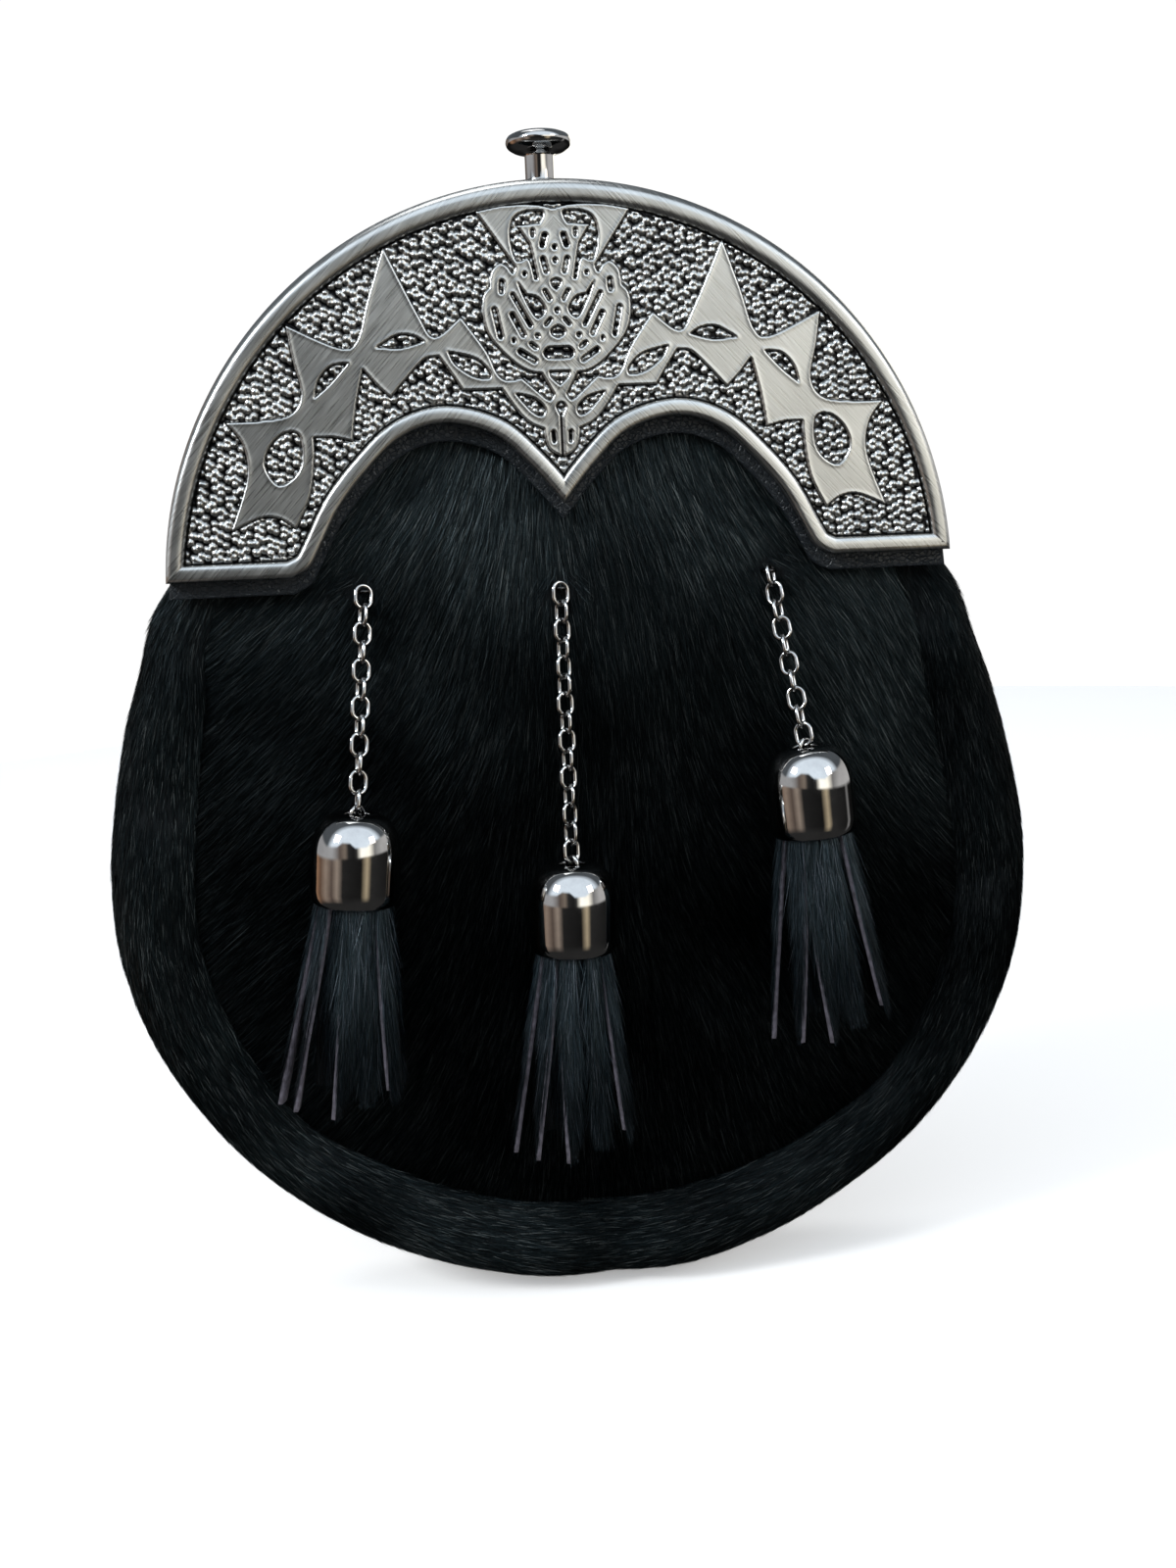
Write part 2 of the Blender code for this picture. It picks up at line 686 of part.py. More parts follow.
def sway(up):
    """The pouch hangs a little to the right of the cantle's middle line."""
    share = min(max(-up / (centre_drop() + BODY_RADIUS), 0.0), 1.0)
    return BODY_SWAY * share


def body_point(side, angle, radius, depth):
    """A point of the pouch at an angle from straight up and a radius from the pouch's centre."""
    turn = math.radians(angle)
    up = radius * math.cos(turn) - centre_drop()
    across = side * (radius * math.sin(turn) + SEAM_GAP / 2)
    return Vector((across + sway(up), depth, up))


def band_section(side, station):
    """One closed section of a band: outer face from the front seam round to the back, then the inner face."""
    angle, outline, band_share, roll_share = station
    radius = outline * BODY_RADIUS
    band = band_share * BAND_WIDTH
    roll = roll_share * BAND_ROLL
    for dent_side, dent_angle, half_width, depth in DENTS:
        if dent_side == side:
            roll -= depth * BAND_ROLL * math.exp(-(((angle - dent_angle) / half_width) ** 2))
    seam = seam_depth()
    crest = seam - max(roll, 0.0)
    back = back_depth((radius - BACK_INSET) * math.cos(math.radians(angle)) - centre_drop())
    middle = seam + BAND_FULLEST * (back - seam)
    outer = [Vector((band, seam)), Vector((BAND_LIP * band, seam - BAND_LIP_RISE * (seam - crest)))]
    for turn in map(math.radians, BAND_FRONT_TURNS):
        across = BAND_CREST * band * (1 - math.cos(turn))
        outer.append(Vector((across, middle - (middle - crest) * math.sin(turn))))
    for turn in map(math.radians, BAND_BACK_TURNS):
        across = BACK_INSET * (1 - math.cos(turn))
        outer.append(Vector((across, middle + (back - middle) * math.sin(turn))))
    inner = []
    for i, point in enumerate(outer[:-1]):
        before = outer[max(i - 1, 0)]
        along = (outer[i + 1] - before).normalized()
        inner.append(point + Vector((along.y, -along.x)) * HIDE_THICKNESS)
    inner.append(outer[-1] - Vector((0.0, HIDE_THICKNESS)))
    section = outer + inner[::-1]
    return [body_point(side, angle, radius - point.x, point.y) for point in section]


def build_bands():
    for name, side in (("gusset_left", -1), ("gusset_right", 1)):
        sections = [band_section(side, station) for station in STATIONS]
        add_part(name, loft(name, sections), "hide")


def seam_radius(station):
    return station[1] * BODY_RADIUS - station[2] * BAND_WIDTH - GAP


def crown_share(up):
    """How much of the crown the front panel has at a height: little behind the apron, all of it below."""
    fall = min(max((APRON_DROP + BAND_WIDTH - up) / centre_drop(), 0.0), 1.0)
    return HIDDEN_CROWN_SHARE + (1.0 - HIDDEN_CROWN_SHARE) * fall * fall * (3.0 - 2.0 * fall)


def panel_point(side, station, share):
    point = body_point(side, station[0], seam_radius(station) * share, 0.0)
    point.y = seam_depth() - PANEL_CROWN * crown_share(point.z) * (1.0 - share**3)
    return point


def panel_depth(up):
    """Depth of the front panel's face on its middle line, at its fullest."""
    return seam_depth() - PANEL_CROWN * crown_share(up)


def round_the_body(point_at):
    """Points once round the pouch: down the right side and up the left one."""
    right = [point_at(1, station) for station in STATIONS]
    left = [point_at(-1, station) for station in reversed(STATIONS)]
    return right + left


def build_front_panel():
    loops = []
    for share in PANEL_RINGS:
        loops.append(round_the_body(lambda side, station: panel_point(side, station, share)))
    points = [point for loop in loops for point in loop]
    count = len(loops[0])
    faces = []
    for row in range(len(loops) - 1):
        for i in range(count):
            j = (i + 1) % count
            faces.append((row * count + i, row * count + j, (row + 1) * count + j, (row + 1) * count + i))
    centre = Vector((sway(-centre_drop()), panel_depth(-centre_drop()), -centre_drop()))
    points.append(centre)
    inner = (len(loops) - 1) * count
    for i in range(count):
        faces.append((inner + i, inner + (i + 1) % count, len(points) - 1))
    mesh = mesh_from("front_panel", points, faces, smooth=True)
    facing = sum(polygon.normal.y * polygon.area for polygon in mesh.polygons)
    if facing > 0:
        mesh.flip_normals()
    panel = add_part("front_panel", mesh, "hide")
    add_solidify(panel, HIDE_THICKNESS)
    for name, across, below, *_ in PENDANTS:
        place = staple_place(across, below)
        hole = cylinder_mesh("hole_" + name, STAPLE_HOLE / 2, 6 * HIDE_THICKNESS, 10)
        turn = (math.pi / 2, 0.0, 0.0)
        centre = (place.x, place.y + STAPLE_REACH, place.z)
        add_boolean(panel, add_cutter("hole_" + name, hole, centre, turn), "DIFFERENCE")


def cylinder_mesh(name, radius, length, sides):
    bm = bmesh.new()
    bmesh.ops.create_cone(bm, cap_ends=True, segments=sides, radius1=radius, radius2=radius, depth=length)
    mesh = bpy.data.meshes.new(name)
    bm.to_mesh(mesh)
    bm.free()
    return mesh


# Back: a flat sloping leather panel with the mouth, covered by the flap.
def back_point(side, station):
    angle, outline, _, _ = station
    radius = outline * BODY_RADIUS - BACK_INSET - GAP
    point = body_point(side, angle, radius, 0.0)
    point.y = back_depth(point.z)
    return point


def on_back(across, up, out):
    """A place at a distance out from the back's face."""
    slope = back_slope()
    normal = Vector((0.0, math.cos(slope), math.sin(slope)))
    return Vector((across, back_depth(up), up)) + normal * out


def build_back():
    points = round_the_body(back_point)
    mesh = mesh_from("back_panel", points, [tuple(range(len(points)))])
    if mesh.polygons[0].normal.y < 0:
        mesh.flip_normals()
    panel = add_part("back_panel", mesh, "leather")
    add_solidify(panel, BACK_LEATHER)
    mouth = plate_mesh("mouth", [rounded_box(MOUTH_WIDTH, MOUTH_HEIGHT, MOUTH_HEIGHT * 0.3)], 6 * BACK_LEATHER)
    turn = (math.pi / 2 + back_slope(), 0.0, 0.0)
    add_boolean(panel, add_cutter("mouth", mouth, on_back(0.0, MOUTH_RISE, 0.0), turn), "DIFFERENCE")


def rounded_box(width, height, radius):
    """An outline of (across, up) with rounded corners, centred."""
    outline = []
    corners = ((1, 1, 0), (-1, 1, 90), (-1, -1, 180), (1, -1, 270))
    for right, top, start in corners:
        for step in range(4):
            angle = math.radians(start + 30 * step)
            outline.append((right * (width / 2 - radius) + radius * math.cos(angle),
                            top * (height / 2 - radius) + radius * math.sin(angle)))
    return outline


def flap_outline():
    """The flap from its sewn top edge, at 0, down to its rounded tip."""
    half = FLAP_WIDTH / 2
    straight = FLAP_LENGTH * FLAP_STRAIGHT_SHARE
    outline = [(half, 0.0)]
    for step in range(13):
        angle = math.pi * step / 12
        outline.append((half * math.cos(angle), -straight - (FLAP_LENGTH - straight) * math.sin(angle)))
    outline.append((-half, 0.0))
    return outline


def flap_top():
    return MOUTH_RISE + MOUTH_HEIGHT / 2 + FLAP_OVERLAP


def build_flap():
    turn = (math.pi / 2 + back_slope(), 0.0, 0.0)
    mesh = plate_mesh("back_flap", [flap_outline()], FLAP_THICKNESS)
    add_part("back_flap", mesh, "leather", on_back(0.0, flap_top(), GAP + FLAP_THICKNESS / 2), turn)
    radius = STUD_DIAMETER / 2
    profile = [(0.0, STUD_RISE)]
    for step in (1, 2, 3, 4):
        angle = math.radians(22.5 * step)
        rise = STUD_EDGE_SHARE + (1 - STUD_EDGE_SHARE) * math.cos(angle)
        profile.append((radius * math.sin(angle), STUD_RISE * rise))
    profile += [(radius, 0.0), (0.0, 0.0)]
    out = GAP + FLAP_THICKNESS + GAP
    place = on_back(0.0, flap_top() - FLAP_LENGTH + STUD_DIAMETER * STUD_INSET_SHARE, out)
    turned_part("flap_stud", profile, "gunmetal", False, place, (-math.pi / 2 + back_slope(), 0.0, 0.0))


def loop_sections():
    """Sections of a belt loop from its lower foot over the strap to its upper foot, in its own frame."""
    half = SLOT_HEIGHT / 2
    foot = half + LOOP_THICKNESS + LOOP_FOOT
    bend = SLOT_DEPTH * LOOP_BEND_SHARE
    inner = ((-foot, 0.0), (-half, 0.0), (-half, bend), (-half + bend, SLOT_DEPTH), (half - bend, SLOT_DEPTH),
             (half, bend), (half, 0.0), (foot, 0.0))
    thick = LOOP_THICKNESS
    outer = ((-foot, thick), (-half - thick, thick), (-half - thick, bend + 0.4 * thick),
             (-half + bend - 0.4 * thick, SLOT_DEPTH + thick), (half - bend + 0.4 * thick, SLOT_DEPTH + thick),
             (half + thick, bend + 0.4 * thick), (half + thick, thick), (foot, thick))
    sections = []
    for (up_in, out_in), (up_out, out_out) in zip(inner, outer):
        sections.append([
            (-LOOP_WIDTH / 2, out_in, up_in), (LOOP_WIDTH / 2, out_in, up_in),
            (LOOP_WIDTH / 2, out_out, up_out), (-LOOP_WIDTH / 2, out_out, up_out),
        ])
    return sections


def build_strap_loops():
    for name, side in (("strap_loop_left", -1), ("strap_loop_right", 1)):
        mesh = loft(name, loop_sections(), smooth=False)
        place = on_back(side * LOOP_SPACING / 2, strap_height(), GAP)
        add_part(name, mesh, "leather", place, (back_slope(), 0.0, 0.0))


# Pendants
def staple_place(across, below):
    """Centre of the staple's front bar."""
    up = -below * BODY_RADIUS
    return Vector((across * BODY_RADIUS + sway(up), panel_face(across, up) - STAPLE_REACH, up))


def panel_face(across, up):
    """Depth of the front panel's face at a place well inside its seam."""
    share = min(math.hypot(across * BODY_RADIUS, up + centre_drop()) / (BODY_RADIUS - BAND_WIDTH), 1.0)
    return seam_depth() - PANEL_CROWN * crown_share(up) * (1.0 - share**3)


def build_staple(name, across, below):
    centre = staple_place(across, below)
    half = STAPLE_SPREAD / 2
    behind = STAPLE_REACH + HIDE_THICKNESS + GAP * 2 + LINK_WIRE / 2
    bend = STAPLE_SPREAD * STAPLE_BEND_SHARE
    route = (
        (-half - STAPLE_FOOT, behind, 0.0), (-half, behind, 0.0), (-half, bend, 0.0), (-half + bend, 0.0, 0.0),
        (half - bend, 0.0, 0.0), (half, bend, 0.0), (half, behind, 0.0), (half + STAPLE_FOOT, behind, 0.0),
    )
    add_part("chain_staple_" + name, wire_mesh("staple", route, LINK_WIRE), "gunmetal", centre)


def wire_ring(radius, straight):
    """Sections of a closed wire ring in its own XZ plane, stretched along Z by two straight runs."""
    sections = []
    for step in range(LINK_STEPS):
        angle = 2 * math.pi * (step + 0.5) / LINK_STEPS
        lift = straight if math.sin(angle) > 0 else -straight
        outward = Vector((math.cos(angle), 0.0, math.sin(angle)))
        centre = outward * radius + Vector((0.0, 0.0, lift))
        section = []
        for side in range(WIRE_SIDES):
            turn = 2 * math.pi * (side + 0.5) / WIRE_SIDES
            offset = outward * math.cos(turn) + Vector((0.0, 1.0, 0.0)) * math.sin(turn)
            section.append(centre + offset * LINK_WIRE / 2)
        sections.append(section)
    return sections


def link_pitch():
    return LINK_LENGTH - 2 * LINK_WIRE + LINK_BITE


def chain_run(across, below, links, lean):
    """First link's centre and the direction of a chain that ends over a cap lying against the panel."""
    bar = staple_place(across, below)
    bar_to_centre = LINK_LENGTH / 2 - LINK_WIRE - GAP - LINK_WIRE / 2
    length = bar_to_centre + (links - 1) * link_pitch()
    axis_depth = panel_depth(bar.z - length - CAP_HEIGHT) - CAP_DIAMETER / 2 - 3 * GAP
    forward = axis_depth - bar.y
    sideways = length * math.sin(math.radians(lean))
    drop = math.sqrt(length**2 - forward**2 - sideways**2)
    direction = Vector((sideways, forward, -drop)) / length
    return bar + direction * bar_to_centre, direction


def chain_mesh(name, first, direction, links, odd):
    """Every second link of a chain, as loose closed rings."""
    turn = direction.to_track_quat("-Z", "Y").to_matrix()
    pattern = wire_ring((LINK_WIDTH - LINK_WIRE) / 2, (LINK_LENGTH - LINK_WIDTH) / 2)
    bm = bmesh.new()
    for index in range(1 if odd else 0, links, 2):
        centre = first + direction * link_pitch() * index
        link = link_at(pattern, centre, turn, index % 2 == 0)
        bm.from_mesh(link)
        bpy.data.meshes.remove(link)
    chain = bpy.data.meshes.new(name)
    bm.to_mesh(chain)
    bm.free()
    return chain


def link_at(pattern, centre, turn, quarter):
    sections = []
    for section in pattern:
        placed = []
        for point in section:
            local = Vector((-point.y, point.x, point.z)) if quarter else point
            placed.append(centre + turn @ local)
        sections.append(placed)
    return ring("link", sections)


def build_pendant(name, across, below, links, chain_lean, tassel_lean):
    build_staple(name, across, below)
    first, direction = chain_run(across, below, links, chain_lean)
    chain = add_part("chain_" + name, chain_mesh("chain_" + name, first, direction, links, False), "gunmetal")
    odd = add_cutter("links_" + name, chain_mesh("links_" + name, first, direction, links, True))
    add_boolean(chain, odd, "UNION")
    last = first + direction * link_pitch() * (links - 1)
    eye_top = last + direction * (LINK_LENGTH / 2 - LINK_WIRE - GAP - LINK_WIRE)
    turn = (0.0, math.radians(-tassel_lean), 0.0)
    down = Vector((math.sin(math.radians(tassel_lean)), 0.0, -math.cos(math.radians(tassel_lean))))
    washer_top = eye_top + down * (EYE_LENGTH - EYE_SINK)
    build_hanger(name, washer_top, turn, links % 2 == 0)
    cap_top = washer_top - down * (CAP_WALL + GAP)
    build_cap(name, cap_top, turn)
    head_top = washer_top + down * (WASHER_THICKNESS + GAP)
    build_tassel(name, head_top, turn, tassel_lean)


def build_hanger(name, washer_top, turn, across):
    """A washer that carries the cap, with a wire eye for the last link standing on it."""
    radius = CAP_HOLE / 2 + WASHER_LAP
    profile = ((0.0, 0.0), (radius, 0.0), (radius, -WASHER_THICKNESS), (0.0, -WASHER_THICKNESS))
    hanger = turned_part("tassel_hanger_" + name, profile, "gunmetal", False, washer_top, turn)
    lift = Vector((0.0, 0.0, EYE_LENGTH / 2 - EYE_SINK))
    sections = []
    for section in wire_ring((EYE_WIDTH - LINK_WIRE) / 2, (EYE_LENGTH - EYE_WIDTH) / 2):
        if across:
            section = [Vector((-point.y, point.x, point.z)) for point in section]
        sections.append([point + lift for point in section])
    eye = add_cutter("eye_" + name, ring("eye", sections), washer_top, turn)
    add_boolean(hanger, eye, "UNION")


def build_cap(name, cap_top, turn):
    """A hollow bell cap: flat top with a hole, rounded shoulder, straight side and a small lip."""
    outer = CAP_DIAMETER / 2
    hole = CAP_HOLE / 2
    profile = [(hole, 0.0)]
    for step in range(4):
        angle = math.radians(30 * step)
        profile.append((outer - CAP_SHOULDER * (1 - math.sin(angle)), -CAP_SHOULDER * (1 - math.cos(angle))))
    lip = CAP_WALL * CAP_LIP_SHARE
    profile += [
        (outer, -CAP_HEIGHT + 3 * CAP_WALL), (outer + lip, -CAP_HEIGHT + 2 * CAP_WALL),
        (outer + lip, -CAP_HEIGHT + 0.5 * CAP_WALL), (outer, -CAP_HEIGHT), (outer - CAP_WALL, -CAP_HEIGHT),
    ]
    inside = CAP_SHOULDER - CAP_WALL
    for step in (3, 2, 1, 0):
        angle = math.radians(30 * step)
        profile.append((outer - CAP_WALL - inside * (1 - math.sin(angle)),
                        -CAP_WALL - inside * (1 - math.cos(angle))))
    profile.append((hole, -CAP_WALL))
    turned_part("tassel_cap_" + name, profile, "gunmetal", True, cap_top, turn)


def strip_mesh(angle, spread, length, width):
    """One strip of hide hanging from the head and spreading to its tip, in the tassel's own frame."""
    turn = math.radians(angle)
    outward = Vector((math.cos(turn), math.sin(turn), 0.0))
    tangent = Vector((-math.sin(turn), math.cos(turn), 0.0))
    head = TASSEL_HEAD / 2
    sections = []
    for along, reach, wide, thick in STRIP_SECTIONS:
        centre = outward * (head * (STRIP_ROOT_SHARE + spread * reach)) - Vector((0.0, 0.0, along * length * TASSEL_LENGTH))
        half_wide = tangent * width * wide * STRIP_WIDTH / 2
        half_thick = outward * thick * STRIP_THICKNESS / 2
        sections.append([centre - half_wide - half_thick, centre + half_wide - half_thick,
                         centre + half_wide + half_thick, centre - half_wide + half_thick])
    return loft("strip", sections, smooth=False)


def build_tassel(name, head_top, turn, lean):
    head_length = CAP_HEIGHT * HEAD_LENGTH_SHARE
    head = cylinder_mesh("tassel_" + name, TASSEL_HEAD / 2, head_length, 10)
    for vertex in head.vertices:
        vertex.co.z -= head_length / 2
    tassel = add_part("tassel_" + name, head, "tassel_hide", head_top, turn)
    bm = bmesh.new()
    for angle, spread, length, width in STRIPS:
        strip = strip_mesh(angle, spread, length, width)
        bm.from_mesh(strip)
        bpy.data.meshes.remove(strip)
    strips = bpy.data.meshes.new("strips_" + name)
    bm.to_mesh(strips)
    bm.free()
    add_boolean(tassel, add_cutter("strips_" + name, strips, head_top, turn), "UNION")


clear_scene()
PARTS = make_collection("sporran_pouch")
CUTTERS = make_collection("cutters")
MATERIALS = make_materials()
ROOT = bpy.data.objects.new("sporran", None)
ROOT.location = (0.0, -back_depth(strap_height()), -strap_height())
PARTS.objects.link(ROOT)

build_cantle()
build_knob()
build_apron()
build_bands()
build_front_panel()
build_back()
build_flap()
build_strap_loops()
for pendant in PENDANTS:
    build_pendant(*pendant)
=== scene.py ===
"""Looks of the sporran pouch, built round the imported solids.

Everything is drawn in the cantle's frame, as in the part's own source: z is 0 at the cantle's foot line,
y is 0 at the front of its rim and grows towards the wearer. The function world() moves points into the
row frame.
"""

from math import atan2, cos, exp, hypot, pi, radians, sin, sqrt

import bmesh
import bpy
import numpy as np
from mathutils import Matrix, Vector

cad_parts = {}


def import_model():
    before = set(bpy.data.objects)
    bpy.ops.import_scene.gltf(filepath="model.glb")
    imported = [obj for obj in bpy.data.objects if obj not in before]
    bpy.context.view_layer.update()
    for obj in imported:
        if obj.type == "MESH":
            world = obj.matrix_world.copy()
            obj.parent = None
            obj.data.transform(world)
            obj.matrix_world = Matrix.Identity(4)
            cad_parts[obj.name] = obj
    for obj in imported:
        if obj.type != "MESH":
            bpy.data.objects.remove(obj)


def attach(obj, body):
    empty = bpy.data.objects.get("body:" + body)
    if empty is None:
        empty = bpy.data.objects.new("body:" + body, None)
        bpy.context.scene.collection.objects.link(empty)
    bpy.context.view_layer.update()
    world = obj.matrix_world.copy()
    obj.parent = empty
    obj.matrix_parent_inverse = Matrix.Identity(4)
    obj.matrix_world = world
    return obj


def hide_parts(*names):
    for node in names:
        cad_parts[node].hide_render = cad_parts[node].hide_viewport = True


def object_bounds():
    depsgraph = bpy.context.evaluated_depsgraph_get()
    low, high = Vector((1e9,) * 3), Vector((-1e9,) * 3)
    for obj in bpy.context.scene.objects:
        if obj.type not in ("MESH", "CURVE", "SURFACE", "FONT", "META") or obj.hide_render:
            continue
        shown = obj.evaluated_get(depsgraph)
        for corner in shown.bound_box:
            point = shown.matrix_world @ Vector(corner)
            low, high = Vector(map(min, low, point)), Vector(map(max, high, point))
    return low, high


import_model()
cad_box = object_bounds()

# Sizes of the solids, in metres
GAP = 0.0003
SEAM_GAP = 0.0008
CANTLE_WIDTH = 0.1636
CANTLE_HEIGHT = 0.0760
CANTLE_PLATE = 0.0020
RIM_WIDTH = 0.0035
RIM_RISE = 0.0014
RIM_FLARE = 0.0014
RIM_WALL = 0.0030
RELIEF_RISE = 0.0009
LUG_WIDTH = 0.0084
LUG_DEPTH = 0.0125
KNOB_DIAMETER = 0.0138
KNOB_HEIGHT = 0.0106
KNOB_DISC = 0.0044
STEM_DIAMETER = 0.0060
COLLAR_DIAMETER = 0.0076
COLLAR_HEIGHT = 0.0008
KNOB_OFFSET = -0.0012
APRON_DROP = 0.0034
APRON_THICKNESS = 0.0018
BODY_RADIUS = 0.1036
BODY_TOP_SINK = 0.0101
BODY_SWAY = 0.0035
BAND_WIDTH = 0.0212
BAND_ROLL = 0.0045
HIDE_THICKNESS = 0.0020
POUCH_DEPTH_TOP = 0.0180
POUCH_DEPTH_BOTTOM = 0.0380
BACK_INSET = 0.0090
PANEL_CROWN = 0.0045
HIDDEN_CROWN_SHARE = 0.42
BACK_LEATHER = 0.0020
MOUTH_WIDTH = 0.0960
MOUTH_HEIGHT = 0.0120
MOUTH_RISE = 0.0020
FLAP_WIDTH = 0.1120
FLAP_LENGTH = 0.0760
FLAP_OVERLAP = 0.0050
FLAP_THICKNESS = 0.0020
STUD_DIAMETER = 0.0120
STUD_RISE = 0.0030
STRAP_DROP = 0.0329
LOOP_SPACING = 0.0520
LOOP_WIDTH = 0.0120
LOOP_THICKNESS = 0.0020
SLOT_HEIGHT = 0.0240
SLOT_DEPTH = 0.0065
LOOP_FOOT = 0.0050
LINK_LENGTH = 0.00545
LINK_WIDTH = 0.0043
LINK_WIRE = 0.0009
LINK_BITE = 0.00020
LINK_TURN = 38
STAPLE_REACH = 0.0029
STAPLE_SPREAD = 0.0026
CAP_DIAMETER = 0.0175
CAP_HEIGHT = 0.0163
CAP_WALL = 0.0008
CAP_HOLE = 0.0056
# The drawn caps are fuller than the solids: a wider wall, and a dome over the place where the eye goes in
CAP_SWELL = 0.0006
CAP_CROWN = 0.0026
CAP_DOME = 0.0088
CAP_FLAT = 0.0040
WASHER_LAP = 0.0009
WASHER_THICKNESS = 0.0010
WASHER_EDGE = 0.0002
EYE_WIDTH = 0.0041
EYE_LENGTH = 0.0066
EYE_SINK = 0.0010
TASSEL_HEAD = 0.0125
TASSEL_LENGTH = 0.0570
STRIP_WIDTH = 0.0036
STRIP_THICKNESS = 0.0015

SHARP = "sharp"

# Lower edge of the cantle, from the middle point to the foot.
# Columns: across in hundredths of the half width, up in hundredths of the height. A curve runs through every
# row, but stops at those marked SHARP.
CANTLE_EDGE = (
    (0.0, 17.1, SHARP), (8.5, 27.9), (17.0, 35.9), (29.2, 39.3), (40.1, 35.9), (49.2, 27.3), (56.5, 17.9),
    (62.2, 6.8), (64.9, 2.4), (69.3, 0.0, SHARP),
)

# Right half of the relief's outline, given row by row. Same columns as the cantle's edge.
RELIEF_HALF = (
    (0.0, 93.6, SHARP), (4.6, 94.7), (12.2, 94.6), (19.0, 93.3, SHARP), (9.8, 79.0, SHARP), (10.6, 77.3),
    (11.8, 79.1, SHARP), (13.7, 80.0), (15.8, 77.8), (16.4, 73.9, SHARP), (18.0, 71.9), (18.5, 67.7),
    (17.5, 62.5), (14.8, 58.3), (10.7, 54.1), (7.3, 52.0), (4.5, 51.5, SHARP), (1.5, 45.7, SHARP),
    (2.6, 44.2), (4.0, 44.9, SHARP), (9.5, 50.3, SHARP), (12.9, 49.7), (15.6, 51.6), (18.2, 57.8),
    (23.9, 66.5, SHARP), (30.6, 61.5), (34.5, 67.7), (42.0, 84.8, SHARP), (46.4, 71.6), (49.6, 61.2),
    (54.1, 59.5), (66.6, 65.7, SHARP), (65.5, 57.2), (63.9, 48.0), (66.8, 42.8), (74.1, 41.4),
    (82.6, 41.3, SHARP), (78.9, 35.5), (78.3, 26.9), (83.1, 13.0, SHARP), (75.9, 16.3), (71.1, 15.9),
    (67.4, 13.1, SHARP), (63.4, 21.7), (61.8, 31.5), (61.6, 36.8, SHARP), (57.1, 36.7), (52.2, 35.5, SHARP),
    (50.8, 44.7), (48.6, 54.0, SHARP), (45.3, 49.7), (42.2, 46.5, SHARP), (37.7, 51.8), (33.4, 56.1),
    (29.9, 56.8, SHARP), (27.2, 52.6), (24.3, 47.7, SHARP), (14.6, 47.7, SHARP), (10.9, 41.8), (7.8, 38.5),
    (4.5, 36.9, SHARP), (4.3, 34.2), (3.2, 31.4), (0.3, 29.4, SHARP), (0.3, 40.1, SHARP), (1.2, 42.4),
    (0.7, 43.5), (0.0, 43.8, SHARP),
)

# Openings through the relief on the right, each repeated on the left. Same columns.
SIDE_OPENINGS = (
    ((2.7, 93.2), (6.7, 93.2), (9.7, 91.7), (10.9, 88.0), (10.6, 83.6), (9.6, 80.6), (8.4, 80.4, SHARP),
     (6.9, 81.3, SHARP), (6.1, 79.9), (5.2, 75.6, SHARP), (4.4, 75.7, SHARP), (5.5, 82.1),
     (6.1, 84.9, SHARP), (8.9, 89.5, SHARP), (3.5, 89.9, SHARP), (2.6, 91.5)),
    ((9.6, 75.3, SHARP), (7.4, 71.9, SHARP), (4.7, 71.1), (2.9, 68.1), (4.0, 66.0), (5.5, 66.1),
     (7.8, 70.4)),
    ((11.3, 46.4, SHARP), (6.7, 45.1), (4.1, 42.4), (4.7, 40.2), (7.0, 41.1), (9.7, 44.2)),
    ((17.5, 50.5), (17.7, 52.8), (21.0, 56.0), (27.5, 57.8, SHARP), (25.9, 54.4), (21.6, 51.1)),
    ((33.2, 60.6, SHARP), (36.0, 62.3), (40.1, 62.4), (45.1, 59.4, SHARP), (38.9, 59.0)),
    ((52.1, 55.6, SHARP), (56.3, 55.1), (59.5, 51.6), (60.8, 46.8, SHARP), (56.6, 50.5)),
    ((65.0, 37.5), (68.7, 38.2), (72.4, 34.8), (73.9, 29.6), (71.2, 24.7), (67.6, 25.8), (64.8, 30.2)),
)

# Right halves of the openings that lie across the middle line. Same columns.
MIDDLE_OPENINGS = (
    ((0.0, 48.1, SHARP), (2.2, 50.3), (2.6, 51.9, SHARP)),
    ((0.0, 58.3, SHARP), (2.8, 58.1), (3.8, 56.6), (2.8, 55.2), (0.0, 55.0, SHARP)),
    ((0.0, 63.9, SHARP), (1.6, 62.9), (1.6, 61.4), (0.0, 60.4, SHARP)),
    ((0.0, 76.0, SHARP), (1.3, 75.3), (1.0, 73.9), (0.0, 72.9, SHARP)),
)

# Slots with round ends in the thistle. Columns: across and up of the upper end, then of the lower end, in
# hundredths of the cantle's half width and height, and the slot's width in hundredths of the half width.
SIDE_SLOTS = (
    (5.3, 88.2, 5.3, 87.0, 1.0), (2.3, 87.0, 3.0, 84.4, 1.3), (3.0, 80.9, 2.3, 77.7, 1.2),
    (2.9, 72.7, 1.8, 70.6, 1.0), (1.8, 65.4, 2.9, 64.0, 0.9), (10.9, 71.9, 6.8, 63.9, 1.0),
    (11.2, 66.8, 8.7, 61.5, 1.2), (15.6, 68.2, 14.3, 61.2, 1.2), (13.4, 75.3, 13.6, 72.8, 1.2),
    (6.8, 59.1, 5.7, 58.1, 1.0), (9.6, 57.2, 6.1, 54.7, 1.3), (11.1, 60.4, 11.1, 59.8, 0.7),
    (2.2, 35.9, 2.1, 33.4, 0.9), (5.2, 61.2, 5.2, 61.1, 1.1), (7.7, 77.3, 7.7, 77.1, 0.9),
)
MIDDLE_SLOTS = ((0.0, 84.0, 0.0, 83.8, 1.1), (0.0, 80.6, 0.0, 80.4, 1.1), (0.0, 67.7, 0.0, 67.5, 1.2))

